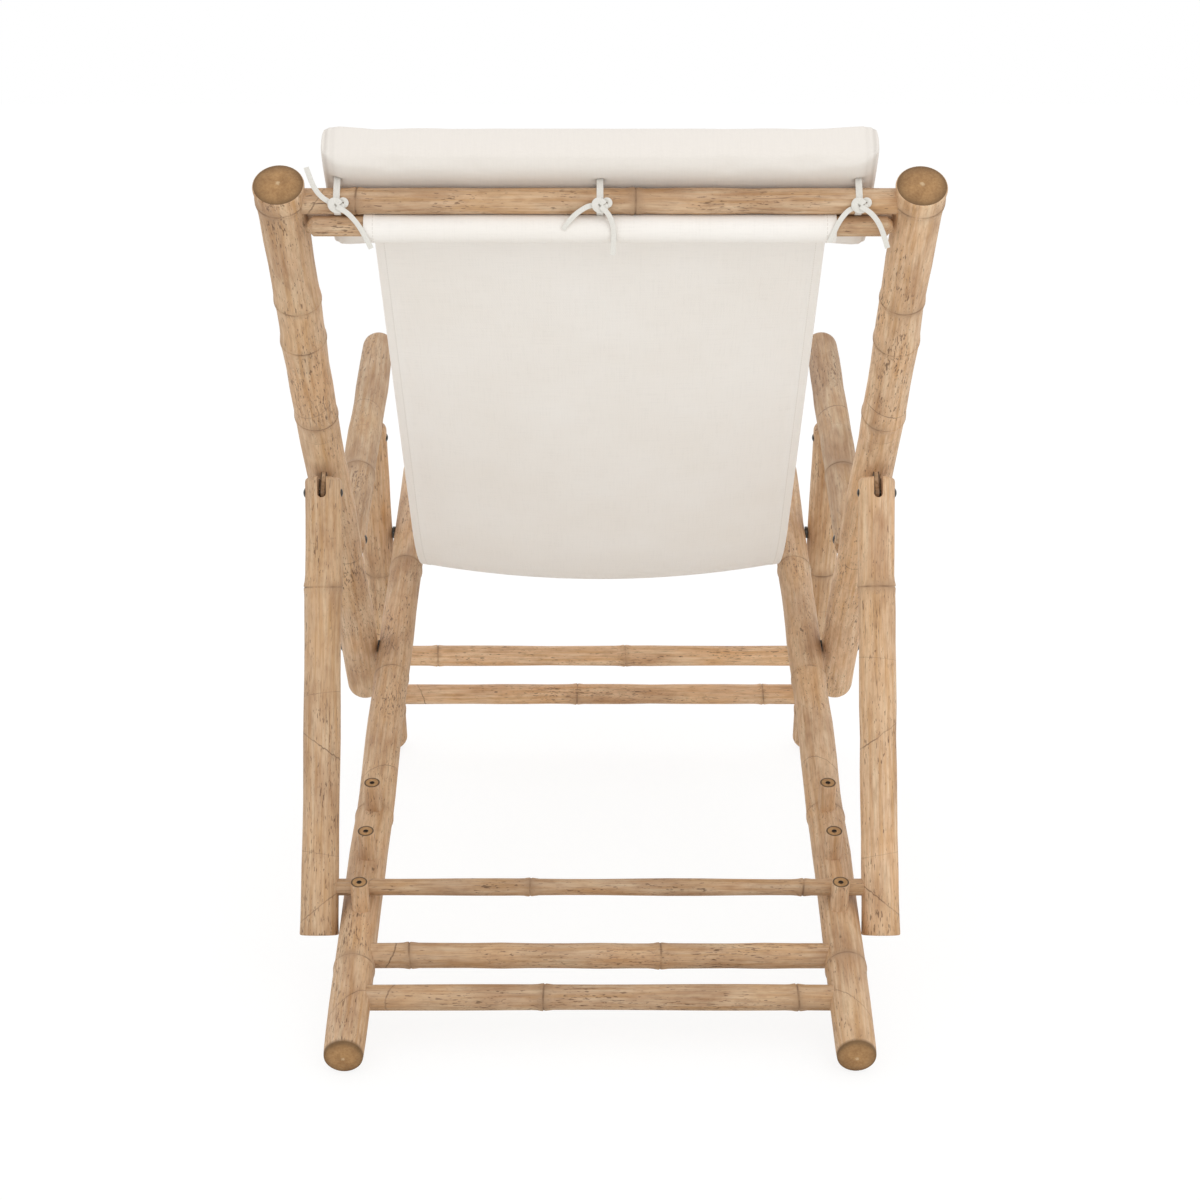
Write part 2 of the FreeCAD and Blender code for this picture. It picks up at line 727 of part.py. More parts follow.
def armrests():
    pieces = {}
    for name, side in SIDES.items():
        x = side * outer_plane
        pieces[f"armrest_{name}"] = armrest(side)
        pieces[f"leg_tongue_{name}"] = tongue(
            leg_pin, arm_under_side * -1, leg_hinge_offset, arm_radius, x, loop_slack
        )
        pieces.update(hinge_fasteners(arm_pivot, arm_radius, f"armrest_{name}", [side]))
    return pieces


def prop():
    pieces = {f"prop_leg_{name}": prop_leg(side) for name, side in SIDES.items()}
    span = half_span(outer_plane, prop_radius)
    pieces["prop_bar"] = cross_bar(prop_bar_radius, span, prop_bar_centre, prop_bar_rings)
    pieces.update(hinge_fasteners(prop_pivot, prop_radius, "prop", SIDES.values()))
    return pieces


def main():
    pieces = {}
    for group in (seat_frame(), back_frame(), leg_frame(), armrests(), prop()):
        pieces.update(group)
    box = Part.makeCompound(list(pieces.values())).optimalBoundingBox()
    shift = FreeCAD.Vector(0, -(box.YMin + box.YMax) / 2, 0)
    os.makedirs("parts", exist_ok=True)
    for name, shape in pieces.items():
        shape.translated(shift).exportStep(f"parts/{name}.step")
    print(f"{len(pieces)} nodes, {box.XLength:.1f} wide, {box.YLength:.1f} long, {box.ZMax:.1f} high")
    pivots = {
        "back_pivot": back_pivot,
        "leg_pivot": leg_pivot,
        "arm_pivot": arm_pivot,
        "prop_pivot": prop_pivot,
        "leg_pin": leg_pin,
    }
    for name, point in pivots.items():
        moved = point + shift
        print(f"{name} y {moved.y:.4f} z {moved.z:.4f}")


main()
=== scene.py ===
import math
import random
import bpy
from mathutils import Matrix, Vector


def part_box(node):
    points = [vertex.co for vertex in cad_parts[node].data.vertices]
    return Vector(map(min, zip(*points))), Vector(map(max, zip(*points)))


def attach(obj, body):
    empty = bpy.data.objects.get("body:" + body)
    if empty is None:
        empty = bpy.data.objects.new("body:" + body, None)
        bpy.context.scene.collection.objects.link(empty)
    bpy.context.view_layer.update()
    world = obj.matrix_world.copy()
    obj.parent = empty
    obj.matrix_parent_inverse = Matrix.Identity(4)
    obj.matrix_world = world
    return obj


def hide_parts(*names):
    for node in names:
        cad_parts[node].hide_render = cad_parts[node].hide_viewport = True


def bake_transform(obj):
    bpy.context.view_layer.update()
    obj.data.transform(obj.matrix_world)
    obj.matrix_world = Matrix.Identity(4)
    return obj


bl_info = {
    "name": "Bamboo Folding Recliner",
    "version": (1, 0, 0),
    "blender": (4, 5, 0),
    "location": "View3D > Sidebar > Recliner",
    "description": "Dresses the recliner's frame with weathered bamboo, canvas, a pillow and its ties",
    "category": "Object",
}

import bpy
import numpy as np
from mathutils import Matrix, Vector

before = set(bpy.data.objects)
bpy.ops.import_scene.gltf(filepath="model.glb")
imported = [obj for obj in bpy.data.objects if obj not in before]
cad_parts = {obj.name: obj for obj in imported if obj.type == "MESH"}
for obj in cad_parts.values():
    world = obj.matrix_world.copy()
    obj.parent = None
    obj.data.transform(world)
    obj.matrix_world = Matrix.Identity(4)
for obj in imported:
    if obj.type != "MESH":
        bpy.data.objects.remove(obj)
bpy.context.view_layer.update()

MM = 0.001
SIDES = {"left": 1, "right": -1}

# Slopes of the back and of the rails in the side plane, in degrees
BACK_SLOPE = 43.9
RAIL_SLOPE = 161.0

# Poles of the chair. Each is read from its node in the frame; slope is the way that it runs in the side
# plane, in degrees. Rings, bends and creases are distances from its lower or rear end in millimetres. A bend
# also says how far the pole strays outwards there, and a crease how far it climbs across the pole and the
# way round the pole that it faces, in degrees. Flares are how far the pole widens at its two ends, and tone
# is how light the bamboo of the left and the right pole is, where 1 is the skin's own colour.
POLES = {
    "back_pole": {
        "body": "back_frame",
        "tone": (0.96, 1.08),
        "slope": BACK_SLOPE,
        "radius": 22.6,
        "rings": (627, 763, 830, 982),
        "bends": (
            *((0, 0.8), (107, 0), (190, -1.6), (321, 0.5), (420, -1.3)),
            *((564, 1.5), (745, 0.8), (809, -1.1), (1001, -1.8)),
        ),
        "creases": ((340, 26, 60), (655, -22, 20)),
        "ends": ("round", "plug"),
        "flares": (0, 1.7),
        "plug": "back_plug",
    },
    "seat_rail": {
        "body": "seat_frame",
        "tone": (0.94, 0.96),
        "slope": RAIL_SLOPE,
        "radius": 20.9,
        "rings": (130, 384, 654, 902),
        "bends": ((0, 1.7), (330, 2.0), (406, 0.1), (550, 2.0), (725, 0.4), (808, 1.0), (900, 0.0), (1174, 0.0)),
        "creases": ((66, 44, 180), (455, 24, 200)),
        "ends": ("plug", "round"),
        "flares": (-1.1, 0),
        "plug": "rail_plug",
    },
    "armrest": {
        "body": "armrest",
        "tone": (0.82, 0.78),
        "slope": 158.5,
        "radius": 20.8,
        "rings": (156,),
        "bends": ((0, 0), (90, 0.5), (235, 0.3), (340, -1.1), (455, -0.4), (490, -2.2)),
        "creases": ((300, 20, 40),),
        "ends": ("fork", "round"),
        "flares": (0, 0),
    },
    "front_leg": {
        "body": "front_leg_frame",
        "tone": (0.98, 1.0),
        "slope": -111.57,
        "radius": 21.2,
        "rings": (224, 471),
        "bends": ((0, 0), (166, 0), (300, -1.6), (530, -3.2)),
        "creases": ((330, 20, 150),),
        "ends": ("fork", "round"),
        "flares": (0, 0),
    },
    "prop_leg": {
        "body": "prop_frame",
        "tone": (0.9, 1.06),
        "slope": -70.81,
        "radius": 19.8,
        "rings": (119,),
        "bends": ((0, 0), (100, -1.9), (130, -1.0), (330, -1.4), (491, -0.5)),
        "creases": ((290, 30, 180), (462, -34, 180)),
        "ends": ("fork", "cut"),
        "flares": (0, 1.0),
    },
}

# Bars between the poles: body, tone, radius and the places of their rings from the middle of the chair, in
# millimetres, left side first
BARS = {
    "back_top_bar": ("back_frame", 0.9, 12.1, (227, -33)),
    "back_stop_bar": ("back_frame", 0.85, 9.0, (60,)),
    "seat_front_bar": ("seat_frame", 0.9, 12.1, (120, -150)),
    "seat_stop_bar": ("seat_frame", 0.85, 9.0, (-90,)),
    "rear_bar_lower": ("seat_frame", 0.84, 13.2, (57, -203)),
    "rear_bar_upper": ("seat_frame", 0.88, 13.2, (199, -63)),
    "front_leg_bar_upper": ("front_leg_frame", 1.2, 14.0, (226, -35)),
    "front_leg_bar_lower": ("front_leg_frame", 1.1, 14.0, (32, -229)),
    "prop_bar": ("prop_frame", 0.8, 9.0, (74, -217)),
}

# A flare dies away within the first distance of the end, a crease is marked within the second of its place,
# and a culm's waviness begins within the third of its ends, which are trimmed true. All in millimetres.
FLARE_REACH = 22.0
CREASE_REACH = 70.0
TRUE_ENDS = 90.0

# Distance between two stations of a culm's outline, in millimetres
STATION_SPACING = 34.0

# How a ring stands out of the skin: places along the pole and heights, in millimetres
RING_SHAPE = (
    (-13.0, 0.0),
    (-7.0, 0.25),
    (-3.0, 0.95),
    (-1.3, 1.05),
    (-0.6, 0.45),
    (0.0, 0.2),
    (0.6, 0.55),
    (1.5, 0.85),
    (4.0, 0.6),
    (9.0, 0.0),
)

# Forked pole ends and the wooden tongues in them, in millimetres
FORK_REACH = 16.3
SLOT_WIDTH = 9.4
SLOT_FLOOR = 7.2

# How the forked and the round ends are rounded: radius in millimetres, and the turns of its outline in degrees
END_ROUNDING = {"fork": (4.6, (0, 30, 60, 90)), "round": (14.5, (0, 15, 30, 45, 60, 75, 90))}

PEG_RADIUS = 9.5
PITH_RADIUS = 1.9
ROD_RADIUS = 9.9


def linear(code):
    """A colour from its sRGB hex code, as linear red, green and blue."""
    parts = [int(code[i : i + 2], 16) / 255 for i in (1, 3, 5)]
    return tuple(c / 12.92 if c <= 0.04045 else ((c + 0.055) / 1.055) ** 2.4 for c in parts)


def colour(name, description, code):
    return bpy.props.FloatVectorProperty(
        name=name, description=description, subtype="COLOR", size=3, min=0, max=1, default=linear(code)
    )


def length(name, description, millimetres):
    return bpy.props.FloatProperty(
        name=name, description=description, unit="LENGTH", subtype="DISTANCE", default=millimetres * MM, precision=5
    )


class BambooSettings(bpy.types.PropertyGroup):
    """Looks of the bamboo"""

    skin: colour("Skin", "Weathered skin of the culms", "#D3B18F")
    pale: colour("Pale streaks", "Sun-bleached streaks along the grain", "#E0C5A4")
    warm: colour("Warm streaks", "Brown streaks along the grain", "#C59D71")
    fleck: colour("Flecks", "Dark flecks and checks in the skin", "#5E432E")
    crease: colour("Rings", "Shadow in the groove of each ring", "#70563F")
    cut: colour("Cut ends", "Plugged and cut ends", "#AC8154")
    rim: colour("Cut rims", "Edge of the cut ends", "#5E4529")
    fibre: length("Fibre width", "Width of one bundle of fibres", 1.3)
    sides: bpy.props.IntProperty(name="Sides", description="Faces round each culm", default=44, min=12, max=96)
    seed: bpy.props.IntProperty(name="Seed", description="Start of the random waviness", default=7)


class CanvasSettings(bpy.types.PropertyGroup):
    """Looks and hang of the canvas sling"""

    cloth: colour("Canvas", "Cream cotton canvas", "#F1EDE8")
    thickness: length("Thickness", "Thickness of the canvas", 1.4)
    sag: length("Sag", "How far the middle hangs below the edges", 21.0)
    thread: length("Thread", "Spacing of the threads", 1.1)
    width: length("Width", "Width of the canvas between its hems", 433.0)
    sleeve_width: length("Sleeve width", "Width of the sleeves at both ends", 442.0)


class PillowSettings(bpy.types.PropertyGroup):
    """Looks of the head pillow and its ties"""

    cloth: colour("Pillow", "Cream cotton over filling", "#E6E0D9")
    tape: colour("Tape", "White cotton tape", "#E0DDD6")
    tape_width: length("Tape width", "Width of the ties", 6.4)
    tape_thickness: length("Tape thickness", "Thickness of the ties", 0.9)
    voxel: length("Remesh", "Voxel size before the cloth simulation", 4.5)
    swell: length("Swell", "Most that the filling moves the cloth", 4.0)


class StageSettings(bpy.types.PropertyGroup):
    """Camera, floor and light"""

    lens: bpy.props.FloatProperty(name="Lens", description="Focal length on a 36 mm sensor", default=72.0)
    pitch: bpy.props.FloatProperty(name="Pitch", description="Camera pitch below the horizon", default=14.3)
    height: length("Height", "Camera above the floor", 1052.0)
    distance: length("Distance", "Camera behind the middle of the chair", 2760.2)
    floor: colour("Floor", "Pale floor", "#F4F4F2")
    key: bpy.props.FloatProperty(name="Key light", description="Power of the key light in watts", default=17.0)
    fill: bpy.props.FloatProperty(name="Low light", description="Power of the low light in watts", default=2.0)
    front: bpy.props.FloatProperty(name="Front light", description="Power of the front light in watts", default=14.0)
    sky: bpy.props.FloatProperty(name="Sky", description="Strength of the surrounding light", default=0.96)


def settings(group):
    return getattr(bpy.context.scene, group)


def clear_selection():
    if bpy.context.object and bpy.context.object.mode != "OBJECT":
        bpy.ops.object.mode_set(mode="OBJECT")
    bpy.ops.object.select_all(action="DESELECT")


def pick(*pieces):
    """Selects pieces, the first of them active."""
    clear_selection()
    for piece in pieces:
        piece.select_set(True)
    bpy.context.view_layer.objects.active = pieces[0]


def apply_modifier(piece, kind, **values):
    """Adds a modifier with its settings and applies it."""
    pick(piece)
    bpy.ops.object.modifier_add(type=kind)
    modifier = piece.modifiers[-1]
    for name, value in values.items():
        setattr(modifier, name, value)
    bpy.ops.object.modifier_apply(modifier=modifier.name)


def place(piece, matrix):
    """Puts a piece in place and leaves its object at the origin."""
    pick(piece)
    piece.matrix_world = matrix
    bpy.ops.object.transform_apply(location=True, rotation=True, scale=True)


def smooth(piece, degrees=38):
    pick(piece)
    bpy.ops.object.shade_smooth_by_angle(angle=math.radians(degrees))


def turned(name, profile, sides):
    """A body turned about +Z: its outline is drawn from a point by extrusion and then spun."""
    clear_selection()
    bpy.ops.mesh.primitive_plane_add(size=MM)
    piece = bpy.context.object
    piece.name = name
    piece.data.name = name
    bpy.ops.object.mode_set(mode="EDIT")
    bpy.ops.mesh.select_mode(type="VERT")
    bpy.ops.mesh.select_all(action="SELECT")
    bpy.ops.mesh.merge(type="CENTER")
    bpy.ops.transform.translate(value=(profile[0][0], 0, profile[0][1]))
    for before, after in zip(profile, profile[1:]):
        step = (after[0] - before[0], 0, after[1] - before[1])
        bpy.ops.mesh.extrude_vertices_move(TRANSFORM_OT_translate={"value": step})
    bpy.ops.mesh.select_all(action="SELECT")
    bpy.ops.mesh.spin(steps=sides, angle=math.tau, center=(0, 0, 0), axis=(0, 0, 1))
    bpy.ops.mesh.select_all(action="SELECT")
    bpy.ops.mesh.remove_doubles(threshold=0.01 * MM)
    bpy.ops.mesh.normals_make_consistent(inside=False)
    bpy.ops.object.mode_set(mode="OBJECT")
    return piece


def points_of(piece):
    return np.array([v.co for v in piece.data.vertices], float).reshape(-1, 3)


def move_points(piece, places):
    piece.data.vertices.foreach_set("co", places.astype(np.float32).ravel())
    piece.data.update()


def store(piece, name, values):
    """Stores a number or a vector for each vertex, for the material to read."""
    kind, key = ("FLOAT_VECTOR", "vector") if values.ndim > 1 else ("FLOAT", "value")
    piece.data.attributes.new(name, kind, "POINT").data.foreach_set(key, values.astype(np.float32).ravel())


def end_outline(kind, radius):
    """Outline of a pole's end as pairs of distance from the axis and depth below the end, in millimetres."""
    if kind == "cut":
        return [(0, 0), (0.45 * radius, 0), (radius - 1.4, 0), (radius - 0.4, 0.4), (radius, 1.4)]
    if kind == "plug":
        inner = radius - 1.6
        dome = [(inner * s, -2.6 * (1 - s * s)) for s in (0, 0.2, 0.4, 0.6, 0.75, 0.87, 0.95, 1)]
        return [*dome, (inner + 0.35, 0.25), (inner + 0.8, 0.3), (radius - 0.25, 1.0), (radius, 2.2)]
    size, degrees = END_ROUNDING[kind]
    turns = [math.radians(a) for a in degrees]
    rounded = [(radius - size * (1 - math.sin(a)), size * (1 - math.cos(a))) for a in turns]
    return [(0, 0), *rounded]


def culm_outline(span, radius, rings, ends, flares, waviness):
    """Outline of a whole culm in metres: its ends, its rings, and stations between with a slight waviness."""
    stations = {}
    for ring in rings:
        for offset, height in RING_SHAPE:
            stations[round(ring + offset, 3)] = height
    first = end_outline(ends[0], radius + flares[0])
    last = end_outline(ends[1], radius + flares[1])
    low = first[-1][1] + 4
    high = span - last[-1][1] - 4
    steps = int((high - low) / STATION_SPACING)
    for i in range(steps + 1):
        at = low + (high - low) * i / max(1, steps)
        if all(abs(at - ring) > 16 for ring in rings):
            stations[round(at, 3)] = 0.0
    for place_at, flare in ((low, flares[0]), (high, flares[1])):
        if flare:
            stations.update({round(abs(place_at - step), 3): 0.0 for step in (8, 18, 30)})

    def skin_radius(at, height):
        widening = flares[0] * math.exp(-at / FLARE_REACH) + flares[1] * math.exp((at - span) / FLARE_REACH)
        return radius + height + widening + waviness(at) * min(1, at / TRUE_ENDS, (span - at) / TRUE_ENDS)

    skin = [(skin_radius(at, height), at) for at, height in sorted(stations.items()) if low <= at <= high]
    points = [*first, *skin, *[(r, span - depth) for r, depth in reversed(last)]]
    return [(r * MM, z * MM) for r, z in points]


def stray(piece, bends, depth_bends):
    """Bends a culm: each internode stays straight and turns a little at the bend points."""
    for vertex in piece.data.vertices:
        at = vertex.co.z / MM
        vertex.co.x += MM * float(np.interp(at, [b[0] for b in bends], [b[1] for b in bends]))
        vertex.co.y += MM * float(np.interp(at, [b[0] for b in depth_bends], [b[1] for b in depth_bends]))


def slant_rings(piece, rings, rng):
    """Tilts each ring a little, as no ring of a culm is quite square."""
    for ring in rings:
        tilt = rng.uniform(0.03, 0.11)
        way = rng.uniform(0, math.tau)
        for vertex in piece.data.vertices:
            near = 1 - abs(vertex.co.z / MM - ring) / 14
            if near > 0:
                vertex.co.z += near * tilt * (vertex.co.x * math.cos(way) + vertex.co.y * math.sin(way))


def crease_distance(co, radius, creases):
    """Distance of each point from the nearest slanting crease, in millimetres. It is linear near a crease, so
    the material can draw a line much finer than the faces."""
    distance = np.full(len(co), CREASE_REACH)
    at = co[:, 2] / MM
    for place_at, climb, way in creases:
        turn = math.radians(way)
        slope = climb / (2 * radius)
        plane = at - place_at - slope * (co[:, 0] * math.cos(turn) + co[:, 1] * math.sin(turn)) / MM
        near = np.abs(at - place_at) < CREASE_REACH
        distance[near] = plane[near]
    return distance


def grain_marks(piece, radius, rings, span, plugged, shift, tone, creases=()):
    """Marks a culm for its material: place in the culm, groove and band of a ring, creases, cut end, and
    distance from the axis. It is called before the culm bends, so the grain follows the bends."""
    co = points_of(piece)
    reach = np.hypot(co[:, 0], co[:, 1])
    at = co[:, 2] / MM
    groove = np.zeros(len(co))
    band = np.zeros(len(co))
    for ring in rings:
        groove = np.maximum(groove, np.exp(-(((at - ring) / 0.95) ** 2)))
        band = np.maximum(band, np.exp(-(((at - ring) / 7.0) ** 2)))
    cut = np.zeros(len(co))
    for where, is_plugged in ((0, plugged[0]), (span, plugged[1])):
        if is_plugged:
            cut[(np.abs(at - where) < 2.8) & (reach < (radius - 0.9) * MM)] = 1
    values = {
        "groove": groove,
        "band": band,
        "cut": cut,
        "across": reach / (radius * MM),
        "crease": crease_distance(co, radius, creases),
        "tone": np.full(len(co), tone),
        "grain": co + np.array([0, 0, shift]),
    }
    for name, value in values.items():
        store(piece, name, value)


def axis_of(node, slope):
    """Start, direction and length of a pole's axis, from its node and its slope in the side plane."""
    points = points_of(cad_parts[node])
    turn = math.radians(slope)
    along = np.array((0, math.cos(turn), math.sin(turn)))
    square = np.array((0, -math.sin(turn), math.cos(turn)))
    reach = points @ along
    offset = points @ square
    low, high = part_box(node)
    start = along * reach.min() + square * (offset.min() + offset.max()) / 2
    start[0] = (low.x + high.x) / 2
    return Vector(start), Vector(along), reach.max() - reach.min()


def towards(start, third, first=Vector((1, 0, 0))):
    """The place of a piece made at the origin: its +Z runs along third and its +X along first."""
    turn = Matrix((first, third.cross(first), third)).transposed().to_4x4()
    return Matrix.Translation(start) @ turn


def wavy(rng, strength):
    """A gentle waviness of a culm's radius, in millimetres, by its place."""
    waves = [(rng.uniform(70, 300), rng.uniform(0, math.tau), strength / (i + 1)) for i in range(3)]
    return lambda at: sum(size * math.sin(math.tau * at / wave + phase) for wave, phase, size in waves)


def cut_fork(piece):
    """Cuts the slot of a forked end: open at the end and on two faces, with a round floor."""
    clear_selection()
    depth = FORK_REACH + SLOT_FLOOR
    bpy.ops.mesh.primitive_cube_add(size=1, location=(0, 0, (depth - 20) / 2 * MM))
    cutter = bpy.context.object
    cutter.scale = (SLOT_WIDTH * MM, 80 * MM, (depth + 20) * MM)
    bpy.ops.object.transform_apply(location=True, rotation=True, scale=True)
    bpy.ops.object.mode_set(mode="EDIT")
    bpy.ops.mesh.select_mode(type="EDGE")
    bpy.ops.mesh.select_all(action="DESELECT")
    bpy.ops.object.mode_set(mode="OBJECT")
    for edge in cutter.data.edges:
        ends = [cutter.data.vertices[i].co for i in edge.vertices]
        edge.select = all(e.z > 0 for e in ends) and abs(ends[0].x - ends[1].x) < 1e-6
    bpy.ops.object.mode_set(mode="EDIT")
    bpy.ops.mesh.bevel(offset=SLOT_WIDTH * 0.49 * MM, segments=8, affect="EDGES")
    bpy.ops.object.mode_set(mode="OBJECT")
    apply_modifier(piece, "BOOLEAN", operation="DIFFERENCE", object=cutter, solver="EXACT")
    bpy.data.objects.remove(cutter)


def culm(name, span, radius, rings, ends, rng, shift, tone, creases, flares=(0, 0)):
    """A straight culm along +Z, marked for its material."""
    bamboo = settings("recliner_bamboo")
    outline = culm_outline(span, radius, rings, ends, flares, wavy(rng, 0.3))
    piece = turned(name, outline, bamboo.sides)
    if ends[0] == "fork":
        cut_fork(piece)
    plugged = [end == "plug" for end in ends]
    grain_marks(piece, radius + max(flares), rings, span, plugged, shift, tone, creases)
    slant_rings(piece, rings, rng)
    return piece


def worn_flat(piece):
    """Trims a foot level with the floor, as the frame's feet are."""
    pick(piece)
    bpy.ops.object.mode_set(mode="EDIT")
    bpy.ops.mesh.select_all(action="SELECT")
    bpy.ops.mesh.bisect(plane_co=(0, 0, 0), plane_no=(0, 0, 1), clear_inner=True, use_fill=True)
    bpy.ops.object.mode_set(mode="OBJECT")


def finish_bamboo(piece, material, body, *nodes):
    """Smooths a bamboo piece, gives it its material and puts it on its body in place of its nodes."""
    smooth(piece)
    piece.data.materials.clear()
    piece.data.materials.append(material)
    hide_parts(*nodes)
    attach(piece, body)


def make_poles(kind):
    """The left and the right pole of a kind, each with its own waviness."""
    spec = POLES[kind]
    for number, (side_name, side) in enumerate(SIDES.items()):
        node = f"{kind}_{side_name}"
        start, direction, span = axis_of(node, spec["slope"])
        plugs = [spec["plug"] + "_" + side_name] if "plug" in spec else []
        rng = random.Random(settings("recliner_bamboo").seed * 31 + sorted(POLES).index(kind) * 2 + number)
        shift = 1.3 * (sorted(POLES).index(kind) * 2 + number + 1)
        creases = [(at + rng.uniform(-12, 12) * number, climb, way) for at, climb, way in spec["creases"]]
        name = f"{kind}_{side_name}_bamboo"
        shape = (span / MM, spec["radius"], spec["rings"], spec["ends"])
        piece = culm(name, *shape, rng, shift, spec["tone"][number], creases, spec["flares"])
        stray(piece, spec["bends"], [(at, rng.uniform(-0.6, 0.6)) for at in spec["rings"]])
        place(piece, towards(start, direction, Vector((side, 0, 0))))
        if kind in ("seat_rail", "front_leg"):
            worn_flat(piece)
        body = spec["body"] + ("_" + side_name if spec["body"] == "armrest" else "")
        finish_bamboo(piece, weathered_bamboo(), body, node, *plugs)


def make_bar(node, number):
    """A bar between two poles, its rings where the frame's bar has them."""
    body, tone, radius, rings = BARS[node]
    low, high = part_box(node)
    span = (high.x - low.x) / MM
    middle = (low + high) / 2
    places = sorted(span / 2 - ring for ring in rings)
    rng = random.Random(settings("recliner_bamboo").seed * 57 + number)
    creases = [(rng.uniform(24, 60), rng.uniform(8, 20), rng.uniform(0, 360))]
    piece = culm(node + "_bamboo", span, radius, places, ("cut", "cut"), rng, 20 + 1.3 * number, tone, creases)
    marks = [0, *places, span]
    # The ends stay where they are, and the rest strays a little both ways
    free = [0 if at in (0, span) else 1 for at in marks]
    stray(piece, *([(at, rng.uniform(-0.5, 0.5) * f) for at, f in zip(marks, free)] for _ in range(2)))
    start = Vector((high.x, middle.y, middle.z))
    place(piece, towards(start, Vector((-1, 0, 0)), Vector((0, 0, 1))))
    finish_bamboo(piece, weathered_bamboo(), body, node)


def make_peg(side_name, number):
    """A notch peg, cut square, with the pith hole in its top."""
    node = f"notch_peg_{side_name}_{number}"
    start, direction, span = axis_of(node, RAIL_SLOPE - 90)
    span /= MM
    top = [
        (PEG_RADIUS, span - 1.3),
        (PEG_RADIUS - 0.35, span - 0.35),
        (PEG_RADIUS - 1.2, span),
        (PITH_RADIUS + 0.5, span - 0.3),
        (PITH_RADIUS, span - 0.8),
        (PITH_RADIUS * 0.8, span - 7),
        (0, span - 7),
    ]
    outline = [(0, 0), (PEG_RADIUS, 0), (PEG_RADIUS, 12), (PEG_RADIUS + 0.15, 30), *top]
    piece = turned(node + "_bamboo", [(r * MM, z * MM) for r, z in outline], 32)
    shift = 40 + 0.7 * number + (3 if side_name == "left" else 0)
    grain_marks(piece, PEG_RADIUS + 0.2, (), span, (False, True), shift, 1.0)
    place(piece, towards(start, direction))
    finish_bamboo(piece, weathered_bamboo(peg=True), "seat_frame", node)


def make_rod(node, body, number):
    """A canvas rod: a straight cane with chamfered ends."""
    low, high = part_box(node)
    span = (high.x - low.x) / MM
    middle = (low + high) / 2
    chamfer = [(0, 0), (ROD_RADIUS - 5.2, 0), (ROD_RADIUS - 0.5, 4.6), (ROD_RADIUS, 5.6)]
    between = [(ROD_RADIUS, 5.6 + (span - 11.2) * i / 12) for i in range(1, 12)]
    outline = [*chamfer, *between, *[(r, span - z) for r, z in reversed(chamfer)]]
    piece = turned(node + "_cane", [(r * MM, z * MM) for r, z in outline], 32)
    grain_marks(piece, ROD_RADIUS, (), span, (False, False), 50 + 2 * number, 0.92)
    place(piece, towards(Vector((high.x, middle.y, middle.z)), Vector((-1, 0, 0)), Vector((0, 0, 1))))
    finish_bamboo(piece, weathered_bamboo(), body, node)


def add(tree, kind, values=None, links=None):
    """Adds a node to a material, sets its options and inputs, and links its inputs."""
    node = tree.nodes.new(kind)
    for name, value in (values or {}).items():
        if name in node.inputs:
            node.inputs[name].default_value = value
        else:
            setattr(node, name, value)
    for name, source in (links or {}).items():
        tree.links.new(source, node.inputs[name])
    return node


def new_material(name):
    """A material with only its output, and the tree to build it in."""
    material = bpy.data.materials.new(name)
    material.use_nodes = True
    tree = material.node_tree
    tree.nodes.clear()
    return material, tree


def close_material(tree, shader):
    output = tree.nodes.new("ShaderNodeOutputMaterial")
    tree.links.new(shader, output.inputs["Surface"])


def principled(tree, values, links):
    """Ends a material with its shader."""
    shader = add(tree, "ShaderNodeBsdfPrincipled", values, links)
    close_material(tree, shader.outputs["BSDF"])


def stored(tree, name, output="Fac"):
    """What the vertices carry under a name."""
    return add(tree, "ShaderNodeAttribute", {"attribute_name": name}).outputs[output]


def bumped(tree, strength, depth, height):
    """The surface's normal over a relief, its depth in millimetres."""
    bump = add(tree, "ShaderNodeBump", {"Strength": strength, "Distance": depth * MM}, {"Height": height})
    return bump.outputs["Normal"]


def ramp(tree, source, *stops):
    """A colour ramp with stops given as places and colours."""
    node = add(tree, "ShaderNodeValToRGB", links={"Fac": source})
    elements = node.color_ramp.elements
    while len(elements) < len(stops):
        elements.new(0.5)
    for element, (place_at, shade) in zip(elements, stops):
        element.position = place_at
        element.color = (*shade, 1) if not isinstance(shade, (int, float)) else (shade, shade, shade, 1)
    return node.outputs["Color"]


def mix(tree, amount, first, second, kind="MIX"):
    """Mixes two colours. An amount may be a number or a socket, and so may a colour."""
    node = add(tree, "ShaderNodeMix", {"data_type": "RGBA", "blend_type": kind, "clamp_factor": True})
    for socket, value in ((node.inputs[0], amount), (node.inputs[6], first), (node.inputs[7], second)):
        if isinstance(value, bpy.types.NodeSocket):
            tree.links.new(value, socket)
        else:
            socket.default_value = value if isinstance(value, (int, float)) else (*value, 1)
    return node.outputs[2]


def stretched_noise(tree, vector, scale, detail=3.0, rough=0.55):
    """Noise stretched by a scale along each axis, per metre."""
    mapping = add(tree, "ShaderNodeMapping", {"Scale": scale}, {"Vector": vector})
    noise = add(
        tree,
        "ShaderNodeTexNoise",
        {"Scale": 1.0, "Detail": detail, "Roughness": rough},
        {"Vector": mapping.outputs["Vector"]},
    )
    return noise.outputs["Fac"]


def math_node(tree, operation, first, second):
    node = add(tree, "ShaderNodeMath", {"operation": operation})
    for socket, value in zip(node.inputs, (first, second)):
        if isinstance(value, bpy.types.NodeSocket):
            tree.links.new(value, socket)
        else:
            socket.default_value = value
    return node.outputs[0]


